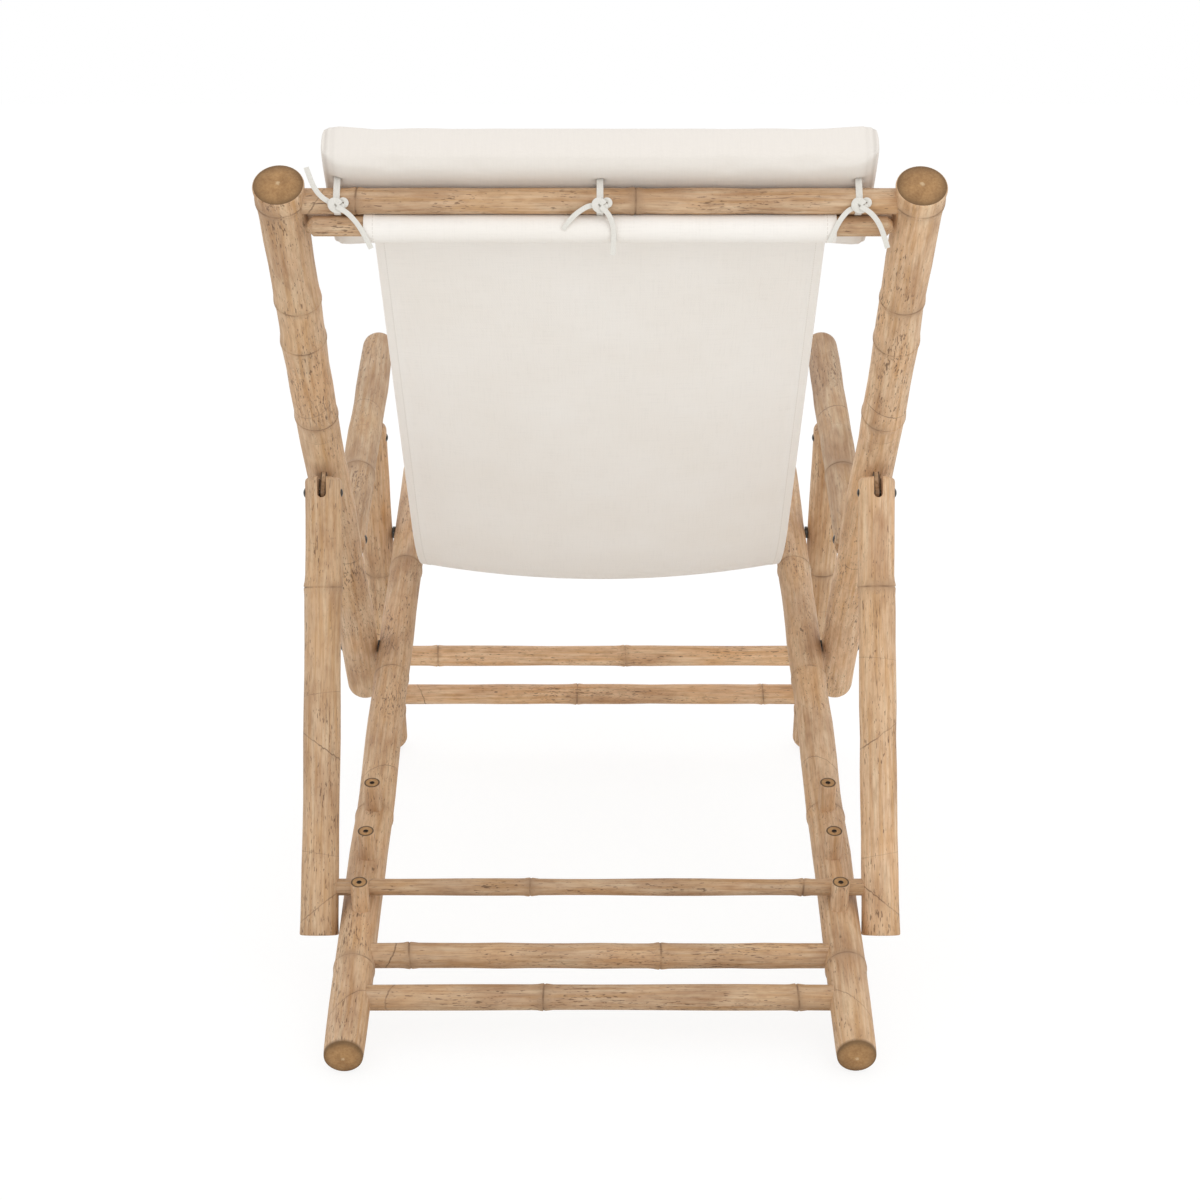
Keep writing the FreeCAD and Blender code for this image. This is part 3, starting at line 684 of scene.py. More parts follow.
def cut_end(tree, grain, across, peg):
    """The oiled cut end of a culm, golden and darker to its rim, where the darker wall shows and painted shade darkens
    a domed end. A peg's end also has an open pith hole, painted near black as shade.
    """
    bamboo = settings("recliner_bamboo")
    dots = stretched_noise(tree, grain, (420, 420, 420), 4, 0.7)
    cloud = stretched_noise(tree, grain, (70, 70, 70), 2)
    end = mix(tree, 0.3, tuple(bamboo.cut), ramp(tree, dots, (0.35, linear("#85653C")), (0.65, linear("#CBA873"))))
    end = mix(tree, 0.35, end, ramp(tree, cloud, (0.35, linear("#A08A6C")), (0.6, linear("#FFFFFF"))), "MULTIPLY")
    if peg:
        rim = ramp(tree, across, (0.66, 0.0), (0.80, 1.0))
        end = mix(tree, rim, end, linear("#4C3B29"))
        # Painted shade: the pith hole and a halo round it are painted near black, for the shade inside the hole
        hole = ramp(tree, across, (0.24, 1.0), (0.34, 0.0))
        return mix(tree, hole, end, linear("#17120D"))
    # Darker towards the rim: the rim itself is the culm's darker wall, and the broad darkening of the domed end inside
    # it is painted shade
    rim_and_dome_shade = ramp(tree, across, (0.0, 0.0), (0.5, 0.08), (0.78, 0.34), (0.92, 0.72), (1.0, 1.0))
    end = mix(tree, rim_and_dome_shade, end, tuple(bamboo.rim))
    pale = ramp(tree, math_node(tree, "ADD", across, math_node(tree, "MULTIPLY", dots, 0.3)), (0.18, 0.6), (0.26, 0.0))
    return mix(tree, pale, end, linear("#D8BE98"))


def weathered_bamboo(peg=False):
    """Bamboo culm left outdoors: its wax is gone, so it is dull and tan, mottled, finely lined along the
    fibres, and full of small dark flecks and short checks. The cut ends are oiled and golden."""
    name = "weathered bamboo pegs" if peg else "weathered bamboo"
    if name in bpy.data.materials:
        return bpy.data.materials[name]
    bamboo = settings("recliner_bamboo")
    material, tree = new_material(name)
    grain = stored(tree, "grain", "Vector")
    marks = {mark: stored(tree, mark) for mark in ("groove", "band", "crease", "cut", "across", "tone")}
    fine = 1 / bamboo.fibre
    streaks = stretched_noise(tree, grain, (fine * 0.3, fine * 0.3, fine * 0.014), 4, 0.62)
    fibres = stretched_noise(tree, grain, (fine, fine, fine * 0.05), 4, 0.68)
    patches = stretched_noise(tree, grain, (36, 36, 11), 2, 0.5)
    mottle = stretched_noise(tree, grain, (230, 230, 70), 4, 0.62)
    skin = ramp(tree, streaks, (0.33, tuple(bamboo.warm)), (0.5, tuple(bamboo.skin)), (0.68, tuple(bamboo.pale)))
    tone = ramp(tree, patches, (0.32, linear("#C6AC92")), (0.5, linear("#FFFFFF")), (0.72, linear("#FFECD2")))
    skin = mix(tree, 0.5, skin, tone, "MULTIPLY")
    # Some places are a little more golden
    golden = ramp(tree, stretched_noise(tree, grain, (17, 17, 7), 2), (0.47, 0.0), (0.64, 0.2))
    skin = mix(tree, golden, skin, linear("#D8AE7B"))
    skin = mix(tree, 0.28, skin, ramp(tree, mottle, (0.32, linear("#B3967A")), (0.54, linear("#FFFFFF"))), "MULTIPLY")
    skin = mix(tree, 0.45, skin, ramp(tree, fibres, (0.3, 0.5), (0.5, 0.95), (0.75, 1.0)), "MULTIPLY")
    # Flecks are thin and short, and crowd together in patches
    crowd = math_node(tree, "MULTIPLY", stretched_noise(tree, grain, (30, 30, 12), 2), 0.36)
    for scale, first, last in (((720, 720, 135), 0.83, 0.875), ((400, 400, 80), 0.862, 0.892)):
        raised = math_node(tree, "ADD", stretched_noise(tree, grain, scale, 2, 0.5), crowd)
        flecks = ramp(tree, raised, (first, 0.0), (last, 1.0))
        skin = mix(tree, math_node(tree, "MULTIPLY", flecks, 0.66), skin, tuple(bamboo.fleck))
    # Hair cracks run along the fibres
    crack_noise = stretched_noise(tree, grain, (150, 150, 5.5), 2)
    crack_line = ramp(tree, crack_noise, (0.493, 0.0), (0.5, 1.0), (0.507, 0.0))
    crack_place = ramp(tree, stretched_noise(tree, grain, (21, 21, 8), 1), (0.56, 0.0), (0.62, 1.0))
    cracks = math_node(tree, "MULTIPLY", crack_line, crack_place)
    skin = mix(tree, math_node(tree, "MULTIPLY", cracks, 0.7), skin, tuple(bamboo.fleck))
    # Scars of the leaf sheaths: one round each ring, and a few that slant over the pole and fade out
    worn = ramp(tree, stretched_noise(tree, grain, (48, 48, 30), 2), (0.42, 0.1), (0.58, 1.0))
    wander = math_node(tree, "MULTIPLY", math_node(tree, "SUBTRACT", mottle, 0.5), 5.0)
    off_line = math_node(tree, "ABSOLUTE", math_node(tree, "ADD", marks["crease"], wander), 0)
    scar = ramp(tree, math_node(tree, "DIVIDE", off_line, 10), (0.03, 1.0), (0.11, 0.0))
    scar = math_node(tree, "MULTIPLY", scar, math_node(tree, "MAXIMUM", worn, 0.55))
    skin = mix(tree, math_node(tree, "MULTIPLY", scar, 0.75), skin, tuple(bamboo.crease))
    band = math_node(tree, "MULTIPLY", marks["band"], ramp(tree, patches, (0.35, 0.75), (0.6, 0.15)))
    skin = mix(tree, band, skin, linear("#A9896B"))
    # The line round each ring is its sheath scar, darkened further by painted shade of the ring's groove
    ring = math_node(tree, "MULTIPLY", marks["groove"], math_node(tree, "MULTIPLY", worn, 0.72))
    skin = mix(tree, ring, skin, tuple(bamboo.crease))
    skin = mix(tree, 1.0, skin, marks["tone"], "MULTIPLY")
    surface = mix(tree, marks["cut"], skin, cut_end(tree, grain, marks["across"], peg))
    relief = math_node(tree, "SUBTRACT", fibres, math_node(tree, "MULTIPLY", flecks, 0.6))
    relief = math_node(tree, "SUBTRACT", relief, math_node(tree, "ADD", cracks, scar))
    rough = ramp(tree, streaks, (0.3, 0.5), (0.7, 0.68))
    links = {"Base Color": surface, "Roughness": rough, "Normal": bumped(tree, 0.4, 0.5, relief)}
    principled(tree, {"IOR": 1.5, "Specular IOR Level": 0.36}, links)
    return material


class RECLINER_OT_poles(bpy.types.Operator):
    """Makes the back poles, rails, armrests, front legs and props from culms"""

    bl_idname = "recliner.poles"
    bl_label = "Bamboo poles"

    def execute(self, context):
        for kind in POLES:
            make_poles(kind)
        return {"FINISHED"}


class RECLINER_OT_bars(bpy.types.Operator):
    """Makes the bars between the poles"""

    bl_idname = "recliner.bars"
    bl_label = "Bamboo bars"

    def execute(self, context):
        for number, node in enumerate(BARS):
            make_bar(node, number)
        return {"FINISHED"}


class RECLINER_OT_pegs(bpy.types.Operator):
    """Makes the notch pegs on the rails"""

    bl_idname = "recliner.pegs"
    bl_label = "Notch pegs"

    def execute(self, context):
        for side_name in SIDES:
            for number in (1, 2, 3):
                make_peg(side_name, number)
        return {"FINISHED"}


class RECLINER_OT_rods(bpy.types.Operator):
    """Makes the two rods that hold the canvas"""

    bl_idname = "recliner.rods"
    bl_label = "Canvas rods"

    def execute(self, context):
        make_rod("sling_rod_back", "back_frame", 0)
        make_rod("sling_rod_front", "seat_frame", 1)
        return {"FINISHED"}


# The canvas in the side plane. Directions are given as (Y, Z), slopes in degrees, sizes in millimetres.
SEAT_DIP = 4.5
SEAT_BEND = 300.0
SLEEVE_ROUND = 12.7
SLEEVE_DROOP = 2.1
HEM = 10.0

# Stitches are 3.5 mm long on the real canvas, and drawn as wide as they need to be to show
STITCH = 3.5
STITCH_WIDTH = 0.9


def heading(degrees):
    return np.array((math.cos(math.radians(degrees)), math.sin(math.radians(degrees))))


def square_to(direction):
    return np.array((-direction[1], direction[0]))


def side_centre(node):
    """Middle of a node in the side plane, in millimetres."""
    low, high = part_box(node)
    return np.array(((low.y + high.y) / 2, (low.z + high.z) / 2)) / MM


def arc(centre, radius, first, last, step=12.0):
    """Points of an arc in the side plane, its angles in degrees."""
    count = max(2, int(abs(last - first) / step) + 1)
    return [centre + radius * heading(a) for a in np.linspace(first, last, count)]


def straight(first, last, step=9.0):
    count = max(2, int(np.linalg.norm(last - first) / step) + 1)
    return [first + (last - first) * t for t in np.linspace(0, 1, count)]


def sleeve_points(rod, gap):
    """The sleeve round a rod, from the gap once round and back. It sits on the rod and hangs loose below."""
    turned_from = math.degrees(math.atan2(*(gap - rod)[::-1]))
    points = []
    for step in range(1, 31):
        angle = turned_from + 12 * step
        radius = SLEEVE_ROUND - SLEEVE_DROOP * math.sin(math.radians(angle))
        points.append(rod + radius * heading(angle))
    return points[:-1]


def canvas_end(thin, rod, outward, front, sheet_side):
    """From the sleeve through the gap between the bars and over the thin bar to where the sheet begins."""
    reach = 9.0 + 0.3 + settings("recliner_canvas").thickness / MM / 2
    top = thin + outward * reach
    gap = top - front * 2.6
    turn_out = math.degrees(math.atan2(outward[1], outward[0]))
    turn_side = math.degrees(math.atan2(sheet_side[1], sheet_side[0]))
    turn_side += 360 * round((turn_out - turn_side) / 360)
    loop = sleeve_points(rod, gap)
    if np.dot(loop[0] - gap, outward) < 0:
        loop.reverse()
    return [*loop, gap, *arc(thin, reach, turn_out, turn_side)]


def canvas_line():
    """Middle line of the canvas from the sleeve at the back to the sleeve at the front, with the numbers of
    the points at which the free sheet begins and ends."""
    up = heading(BACK_SLOPE)
    front = square_to(up)
    seat = heading(-SEAT_DIP)
    seat_side = square_to(seat)
    rail = heading(RAIL_SLOPE)
    rail_side = heading(RAIL_SLOPE - 90)
    back_end = canvas_end(side_centre("back_stop_bar"), side_centre("sling_rod_back"), up, front, front)
    seat_end = canvas_end(side_centre("seat_stop_bar"), side_centre("sling_rod_front"), rail, rail_side, seat_side)
    on_back = back_end[-1]
    on_seat = seat_end[-1]
    # The two straight stretches meet at a corner, which a large arc rounds
    across_gap = on_seat - on_back
    share = (across_gap[0] * seat[1] - across_gap[1] * seat[0]) / (up[0] * seat[1] - up[1] * seat[0])
    corner = on_back + up * share
    tangent = SEAT_BEND * math.tan(math.radians(BACK_SLOPE + SEAT_DIP) / 2)
    bend_start = corner + up * tangent
    bend_end = corner - seat * tangent
    bend = arc(bend_start + front * SEAT_BEND, SEAT_BEND, BACK_SLOPE - 90, -SEAT_DIP - 90, 1.6)
    sheet = [*straight(on_back, bend_start), *bend[1:-1], *straight(bend_end, on_seat)]
    points = [*back_end[:-1], *sheet, *reversed(seat_end[:-1])]
    first = len(back_end) - 1
    return np.array(points), first, first + len(sheet) - 1


def running_length(points):
    return np.concatenate(([0], np.cumsum(np.linalg.norm(np.diff(points, axis=0), axis=1))))


def canvas_columns(half):
    """Places across the canvas, close together at the two hems."""
    edge = [0, 0.8, HEM - 1.2, HEM, HEM + 1.2]
    middle = np.linspace(HEM + 9, half, 20)
    left = [*(half - e for e in edge), *(half - m for m in middle)]
    return np.array([*left, *[-x for x in reversed(left[:-1])]])


def make_canvas():
    """The sling: one sheet of canvas with a sleeve at each end and a hem along each side."""
    canvas = settings("recliner_canvas")
    points, first, last = canvas_line()
    along = running_length(points)
    half = canvas.width / MM / 2
    sleeve_extra = (canvas.sleeve_width - canvas.width) / MM / 2
    columns = canvas_columns(half)
    clear_selection()
    bpy.ops.mesh.primitive_grid_add(x_subdivisions=len(columns) - 1, y_subdivisions=len(points) - 1, size=1)
    piece = bpy.context.object
    piece.name = "canvas_cloth"
    piece.data.name = piece.name
    tangents = np.gradient(points, axis=0)
    tangents /= np.linalg.norm(tangents, axis=1)[:, None]
    below = np.stack((-tangents[:, 1], tangents[:, 0]), axis=1)
    share = np.clip((along - along[first]) / (along[last] - along[first]), 0, 1)
    hang = np.sin(math.pi * share) * canvas.sag / MM
    flare = np.interp(np.arange(len(points)), (first - 12, first - 4, last + 4, last + 12), (1, 0, 0, 1))
    grain = []
    for vertex in piece.data.vertices:
        column = round((vertex.co.x + 0.5) * (len(columns) - 1))
        row = round((vertex.co.y + 0.5) * (len(points) - 1))
        x = columns[column] * (1 + sleeve_extra * flare[row] / half)
        belly = 1 - (columns[column] / half) ** 2
        y, z = points[row] + below[row] * hang[row] * belly
        vertex.co = (x * MM, y * MM, z * MM)
        grain.append((columns[column] * MM, along[row] * MM, 0))
    store(piece, "cloth", np.array(grain))
    hem = piece.vertex_groups.new(name="hem")
    hem.add([i for i, g in enumerate(grain) if abs(g[0]) / MM > half - HEM - 0.1], 1, "REPLACE")
    pick(piece)
    bpy.ops.object.mode_set(mode="EDIT")
    bpy.ops.mesh.select_all(action="SELECT")
    bpy.ops.mesh.normals_make_consistent(inside=False)
    bpy.ops.object.mode_set(mode="OBJECT")
    apply_modifier(
        piece,
        "SOLIDIFY",
        thickness=canvas.thickness * 1.7,
        offset=0,
        vertex_group="hem",
        thickness_vertex_group=0.55,
    )
    smooth(piece, 60)
    piece.data.materials.append(cotton_canvas(float(along[-1]) * MM))
    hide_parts("canvas_sling")
    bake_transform(piece)


def side_way(degrees):
    """A direction in the side plane, by its slope."""
    turn = math.radians(degrees)
    return Vector((0, math.cos(turn), math.sin(turn)))


def pillow_frame():
    """Middle of the pillow, the way up its back, and its height and thickness."""
    up = side_way(BACK_SLOPE)
    front = side_way(BACK_SLOPE + 90)
    points = [v.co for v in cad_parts["pillow"].data.vertices]
    reach = [p.dot(up) for p in points]
    depth = [p.dot(front) for p in points]
    middle = up * (min(reach) + max(reach)) / 2 + front * (min(depth) + max(depth)) / 2
    return middle, up, max(reach) - min(reach), max(depth) - min(depth)


def inflate(piece, swell):
    """Fills a cushion: cloth under pressure, held back so that no point moves further than swell."""
    pick(piece)
    before = points_of(piece)
    bpy.ops.object.modifier_add(type="CLOTH")
    cloth = piece.modifiers[-1]
    cloth.settings.use_pressure = True
    cloth.settings.uniform_pressure_force = FILLING_PRESSURE
    cloth.settings.effector_weights.gravity = 0
    cloth.point_cache.frame_start = 1
    cloth.point_cache.frame_end = FILLING_FRAMES
    for number in range(1, FILLING_FRAMES + 1):
        bpy.context.scene.frame_set(number)
    bpy.ops.object.modifier_apply(modifier=cloth.name)
    bpy.context.scene.frame_set(1)
    move = points_of(piece) - before
    size = np.linalg.norm(move, axis=1)
    limit = swell * np.tanh(size / swell)
    move_points(piece, before + move * (limit / np.maximum(size, 1e-9))[:, None])


def make_pillow():
    """The head pillow: a filled cushion with an end panel at each side, slit where the ties come out."""
    pillow = settings("recliner_pillow")
    middle, up, height, thickness = pillow_frame()
    low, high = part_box("pillow")
    width = high.x - low.x
    clear_selection()
    bpy.ops.mesh.primitive_cube_add(size=1)
    piece = bpy.context.object
    piece.name = "pillow_cushion"
    piece.data.name = piece.name
    piece.scale = (width - 8 * MM, thickness - 9 * MM, height - 8 * MM)
    bpy.ops.object.transform_apply(location=True, rotation=True, scale=True)
    bpy.ops.object.mode_set(mode="EDIT")
    bpy.ops.mesh.select_all(action="SELECT")
    bpy.ops.mesh.bevel(offset=8 * MM, segments=4, affect="EDGES")
    bpy.ops.object.mode_set(mode="OBJECT")
    apply_modifier(piece, "REMESH", mode="VOXEL", voxel_size=pillow.voxel)
    inflate(piece, pillow.swell)
    apply_modifier(piece, "SUBSURF", levels=1, render_levels=1)
    co = points_of(piece)
    half = np.array((width / 2 + PILLOW_ENDS * MM, thickness / 2, height / 2))
    # The filling swells the cushion unevenly, so its flat faces are brought back to their places
    co *= half / np.array([np.percentile(np.abs(co[:, axis]), 98 if axis == 0 else 90) for axis in range(3)])
    co = np.clip(co, -half - 0.8 * MM, half + 0.8 * MM)
    co[:, 2] = np.minimum(co[:, 2], half[2] + 0.6 * MM - PILLOW_CROWN * MM * (co[:, 0] / half[0]) ** 4)
    # Seams round both ends, and a shallow line of stitches beside them
    side = np.abs(co[:, 0])
    centre_line = co * np.array((0, 1, 1))
    girth = np.linalg.norm(centre_line, axis=1)
    inward = -centre_line / np.maximum(girth, 1e-6)[:, None]
    seam = np.zeros(len(co))
    for from_end, depth, wide in PILLOW_SEAMS:
        seam += depth * MM * np.exp(-(((side - half[0] + from_end * MM) / (wide * MM)) ** 2))
    co += inward * (seam * (girth > 9 * MM))[:, None]
    # The rear edge of the top is rounder than the others
    core = half[1:] - PILLOW_SOFT * MM
    beyond = np.clip(np.stack((-co[:, 1], co[:, 2]), axis=1) - core, 0, None)
    drawn = np.minimum(PILLOW_SOFT * MM / np.maximum(np.linalg.norm(beyond, axis=1), 1e-9), 1)
    rounded = (beyond > 0).all(axis=1)
    co[rounded, 1] = -(core[0] + beyond[rounded, 0] * drawn[rounded])
    co[rounded, 2] = core[1] + beyond[rounded, 1] * drawn[rounded]
    # Above the bar that it is tied to, the filling bulges over the bar
    bar_at = (Vector((0, *(side_centre("back_top_bar") * MM))) - middle).dot(up)
    bar_top = bar_at + BARS["back_top_bar"][2] * MM
    over_bar = np.clip((co[:, 2] - bar_top) / ((half[2] - bar_top) * 0.95), 0, 1)
    rear = np.clip(-co[:, 1] / half[1], 0, 1)
    flat_end = np.clip((half[0] - side) / (16 * MM), 0, 1)
    co[:, 1] -= PILLOW_BULGE * MM * np.sin(over_bar * math.pi / 2) * rear * (0.35 + 0.65 * flat_end)
    slit_depth = np.zeros(len(co))
    for node in TAILS:
        far = np.hypot(
            (co[:, 0] + tape_place(node)) / (4.6 * MM),
            (co[:, 2] - bar_at - SLIT_PLACE * MM) / (2.6 * MM),
        )
        slit_depth = np.maximum(slit_depth, np.where(co[:, 1] < 0, 3.2 * MM * np.exp(-(far**2)), 0))
    co[:, 1] += slit_depth
    round_way = np.where(np.abs(co[:, 1]) * half[2] > np.abs(co[:, 2]) * half[1], co[:, 2], co[:, 1])
    cloth = np.stack((co[:, 0], round_way, np.zeros(len(co))), axis=1)
    move_points(piece, co)
    store(piece, "cloth", cloth)
    # Painted shade: the seams' grooves are darkened a little, and the slits where the ties come out much more
    seam_and_slit_shade = np.clip(seam / (1.3 * MM), 0, 1) * (girth > 9 * MM) * 0.25 + slit_depth / (3.2 * MM)
    store(piece, "seam", seam_and_slit_shade)
    place(piece, towards(middle, up, Vector((-1, 0, 0))))
    smooth(piece, 60)
    piece.data.materials.clear()
    piece.data.materials.append(pillow_cotton())
    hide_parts("pillow")
    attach(piece, "back_frame")


# The pillow in millimetres: how far it bulges over the wide bar, how round the rear edge of its top is, how
# far its filling pushes its ends out, how much lower its top is at the ends, and for each seam its distance
# from the end, its depth and its width
PILLOW_BULGE = 4.0
PILLOW_SOFT = 17.0
PILLOW_ENDS = 4.5
PILLOW_CROWN = 2.4
PILLOW_SEAMS = ((4.5, 1.2, 1.6), (11.0, 0.5, 1.8))

# The pressure of the filling, and for how many frames it works on the cloth
FILLING_PRESSURE = 4
FILLING_FRAMES = 20

# Ties. Each passes from a slit in the pillow round the wide bar, and an overhand knot sits on its rear side.
SLIT_PLACE = 13.5
LOOP_REACH = 18.5
KNOT_DIP = 10.0
KNOT_OUT = 15.0
KNOT_LONG = 5.3
KNOT_SHORT = 4.1
KNOT_LOBE = (6.6, 2.2)
TAIL_LIFTS = ((-1.0, -0.8, 0.5, 1.0, 0.5), (1.6, 3.2, 1.8, 1.2, 0.5))
TAILS = {
    "pillow_tie_left": (
        ((-9.5, 4.5), (-15.5, 10.5), (-21.5, 20), (-26.0, 36)),
        ((8.5, -4.5), (15.5, -12), (23.0, -23), (31.0, -41)),
    ),
    "pillow_tie_middle": (
        ((-8.0, 1.0), (-19.5, -5.5), (-27, -12), (-34.5, -22.5)),
        ((6.5, -5), (11.5, -15), (13.5, -29), (12.0, -47)),
    ),
    "pillow_tie_right": (
        ((-8.0, -3.0), (-15, -10), (-21, -20), (-26.5, -35)),
        ((8.0, -4.0), (15, -11), (22, -22), (28.0, -40.5)),
    ),
}


def tape_place(node):
    """Where a tie's tape lies across the chair: the middle of its loop in the frame."""
    bar = side_centre("back_top_bar") * MM
    near = [v.co.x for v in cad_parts[node].data.vertices if v.co.y < bar[0] - 8 * MM]
    return (min(near) + max(near)) / 2


def ribbon(name, points, width, thickness, tilt):
    """A flat tape along a smooth curve through points in metres, its edges rounded."""
    clear_selection()
    bpy.ops.curve.primitive_nurbs_path_add()
    piece = bpy.context.object
    piece.name = name
    curve = piece.data
    curve.splines.clear()
    spline = curve.splines.new("NURBS")
    spline.points.add(len(points) - 1)
    for target, point in zip(spline.points, points):
        target.co = (*point, 1)
        target.tilt = tilt
    spline.order_u = 3
    spline.use_endpoint_u = True
    spline.resolution_u = 6
    curve.dimensions = "3D"
    curve.twist_mode = "Z_UP"
    curve.extrude = (width - thickness) / 2
    curve.bevel_depth = thickness / 2
    curve.bevel_resolution = 2
    curve.use_fill_caps = True
    bpy.ops.object.convert(target="MESH")
    return bpy.context.object


def knot_parts(node, width, thickness):
    """An overhand knot drawn tight: a round turn of tape, open only in a slanting slit, and a lobe beside it."""
    turn = math.radians(-42)
    ring = []
    for step in range(15):
        a = math.radians(70 + 25 * step)
        x, y = KNOT_LONG * math.cos(a), KNOT_SHORT * math.sin(a)
        lift = 1.3 + 0.8 * math.sin(2 * a) - 1.2 * step / 14
        ring.append((x * math.cos(turn) - y * math.sin(turn), x * math.sin(turn) + y * math.cos(turn), lift))
    lobe = []
    for step in range(9):
        a = math.radians(-150 + 38 * step)
        lobe.append((KNOT_LOBE[0] + 2.9 * math.cos(a), KNOT_LOBE[1] + 2.9 * math.sin(a), -0.2 - 0.25 * step))
    parts = []
    for name, points, share in (("knot", ring, 1.0), ("lobe", lobe, 0.7)):
        route = [tuple(c * MM for c in point) for point in points]
        parts.append(ribbon(f"{node}_{name}", route, width * share, thickness * 1.7, math.pi / 2))
    return parts


def make_tie(node):
    """One tie: the loop from the slits round the bar, the knot on it and two loose tails."""
    pillow = settings("recliner_pillow")
    width = pillow.tape_width
    thickness = pillow.tape_thickness
    bar_middle = side_centre("back_top_bar") * MM
    x = tape_place(node)
    reach = BARS["back_top_bar"][2] * MM + thickness * 0.7
    front_reach = LOOP_REACH * MM
    loop = [(SLIT_PLACE * MM, front_reach), (SLIT_PLACE * MM, front_reach / 2)]
    loop += [(reach * math.cos(a), -reach * math.sin(a)) for a in np.linspace(0, math.pi, 9)]
    loop += [(-SLIT_PLACE * MM, front_reach / 2), (-SLIT_PLACE * MM, front_reach)]
    piece = ribbon(node + "_loop", [(a, -b, 0) for a, b in loop], width, thickness, 0)
    place(piece, towards(Vector((x, *bar_middle)), Vector((-1, 0, 0)), side_way(BACK_SLOPE)))
    out = side_way(-KNOT_DIP)
    at = Vector((x, *bar_middle)) + out * KNOT_OUT * MM
    spot = towards(at, out, Vector((-1, 0, 0)))
    parts = knot_parts(node, width, thickness)
    for number, (tail, lift) in enumerate(zip(TAILS[node], TAIL_LIFTS)):
        route = [(0.6, -0.6), *tail]
        points = [(a * MM, b * MM, c * MM) for (a, b), c in zip(route, lift)]
        parts.append(ribbon(f"{node}_tail_{number}", points, width * 0.78, thickness, math.pi / 2))
    for part in parts:
        place(part, spot)
    pick(piece, *parts)
    bpy.ops.object.join()
    piece = bpy.context.object
    piece.name = node + "_tape"
    piece.data.name = piece.name
    smooth(piece, 50)
    piece.data.materials.clear()
    piece.data.materials.append(cotton_tape())
    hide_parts(node)
    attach(piece, "back_frame")


def woven(tree, vector, spacing):
    """Height of a plain weave: warp and weft threads that pass over each other in turn."""
    per_thread = math.pi / spacing
    scaled = add(tree, "ShaderNodeVectorMath", {"operation": "SCALE"}, {"Vector": vector})
    scaled.inputs["Scale"].default_value = per_thread
    parts = add(tree, "ShaderNodeSeparateXYZ", links={"Vector": scaled.outputs["Vector"]})
    warp = math_node(tree, "SINE", parts.outputs["X"], 0)
    weft = math_node(tree, "SINE", parts.outputs["Y"], 0)
    return math_node(tree, "MULTIPLY", warp, weft)


def stitched(tree, cloth, places, axis):
    """Lines of stitches across a sheet, at places along one axis in metres: thread, then a small gap."""
    parts = add(tree, "ShaderNodeSeparateXYZ", links={"Vector": cloth})
    run = parts.outputs["Y" if axis == "X" else "X"]
    thread = math_node(tree, "LESS_THAN", math_node(tree, "FRACT", math_node(tree, "DIVIDE", run, STITCH * MM), 0), 0.7)
    lines = None
    for place_at in places:
        off = math_node(tree, "ABSOLUTE", math_node(tree, "SUBTRACT", parts.outputs[axis], place_at), 0)
        line = math_node(tree, "LESS_THAN", off, STITCH_WIDTH * MM / 2)
        lines = line if lines is None else math_node(tree, "MAXIMUM", lines, line)
    return math_node(tree, "MULTIPLY", lines, thread)


def cotton_canvas(long):
    """Cream cotton duck: a heavy plain weave, matt, with threads of slightly uneven tone. The hems at its
    sides and the sleeves at its ends are sewn down with cream thread."""
    canvas = settings("recliner_canvas")
    material, tree = new_material("cotton duck canvas")
    cloth = stored(tree, "cloth", "Vector")
    weave = woven(tree, cloth, canvas.thread)
    slubs = stretched_noise(tree, cloth, (620, 28, 1), 2)
    cross_slubs = stretched_noise(tree, cloth, (28, 620, 1), 2)
    cloud = stretched_noise(tree, cloth, (7, 7, 1), 3)
    base = tuple(canvas.cloth)
    tone = ramp(tree, math_node(tree, "ADD", slubs, cross_slubs), (0.7, 0.93), (1.0, 1.0))
    shade = mix(tree, 0.5, base, tone, "MULTIPLY")
    shade = mix(tree, 0.25, shade, ramp(tree, cloud, (0.3, linear("#EFE9E0")), (0.7, linear("#FFFFFF"))), "MULTIPLY")
    side = canvas.width / 2 - (HEM - 1.5) * MM
    ends = (SLEEVE_ROUND * math.tau + 12) * MM
    seams = math_node(
        tree, "MAXIMUM", stitched(tree, cloth, (side, -side), "X"), stitched(tree, cloth, (ends, long - ends), "Y")
    )
    shade = mix(tree, math_node(tree, "MULTIPLY", seams, 0.28), shade, linear("#B9B0A4"))
    height = math_node(tree, "ADD", weave, math_node(tree, "MULTIPLY", slubs, 1.2))
    height = math_node(tree, "SUBTRACT", height, math_node(tree, "MULTIPLY", seams, 2))
    principled(
        tree,
        {"Roughness": 0.9, "IOR": 1.45, "Specular IOR Level": 0.25, "Sheen Weight": 0.12, "Sheen Roughness": 0.6},
        {"Base Color": shade, "Normal": bumped(tree, 0.22, 0.25, height)},
    )
    return material


def pillow_cotton():
    """Cream cotton drill over a soft filling: a finer weave than the sling, with painted shade in its seams and in the
    slits for the ties.
    """
    pillow = settings("recliner_pillow")
    material, tree = new_material("cotton drill over filling")
    cloth = stored(tree, "cloth", "Vector")
    seam = stored(tree, "seam")
    weave = woven(tree, cloth, 0.9 * MM)
    slubs = stretched_noise(tree, cloth, (520, 40, 1), 2)
    tone = ramp(tree, slubs, (0.35, 0.97), (0.6, 1.0))
    shade = mix(tree, 0.5, tuple(pillow.cloth), tone, "MULTIPLY")
    # Painted shade in the seams and in the slits for the ties
    shade = mix(tree, math_node(tree, "MULTIPLY", seam, 0.85), shade, linear("#7A6F64"))
    principled(
        tree,
        {"Roughness": 0.88, "IOR": 1.45, "Specular IOR Level": 0.25, "Sheen Weight": 0.15, "Sheen Roughness": 0.6},
        {"Base Color": shade, "Normal": bumped(tree, 0.18, 0.2, weave)},
    )
    return material


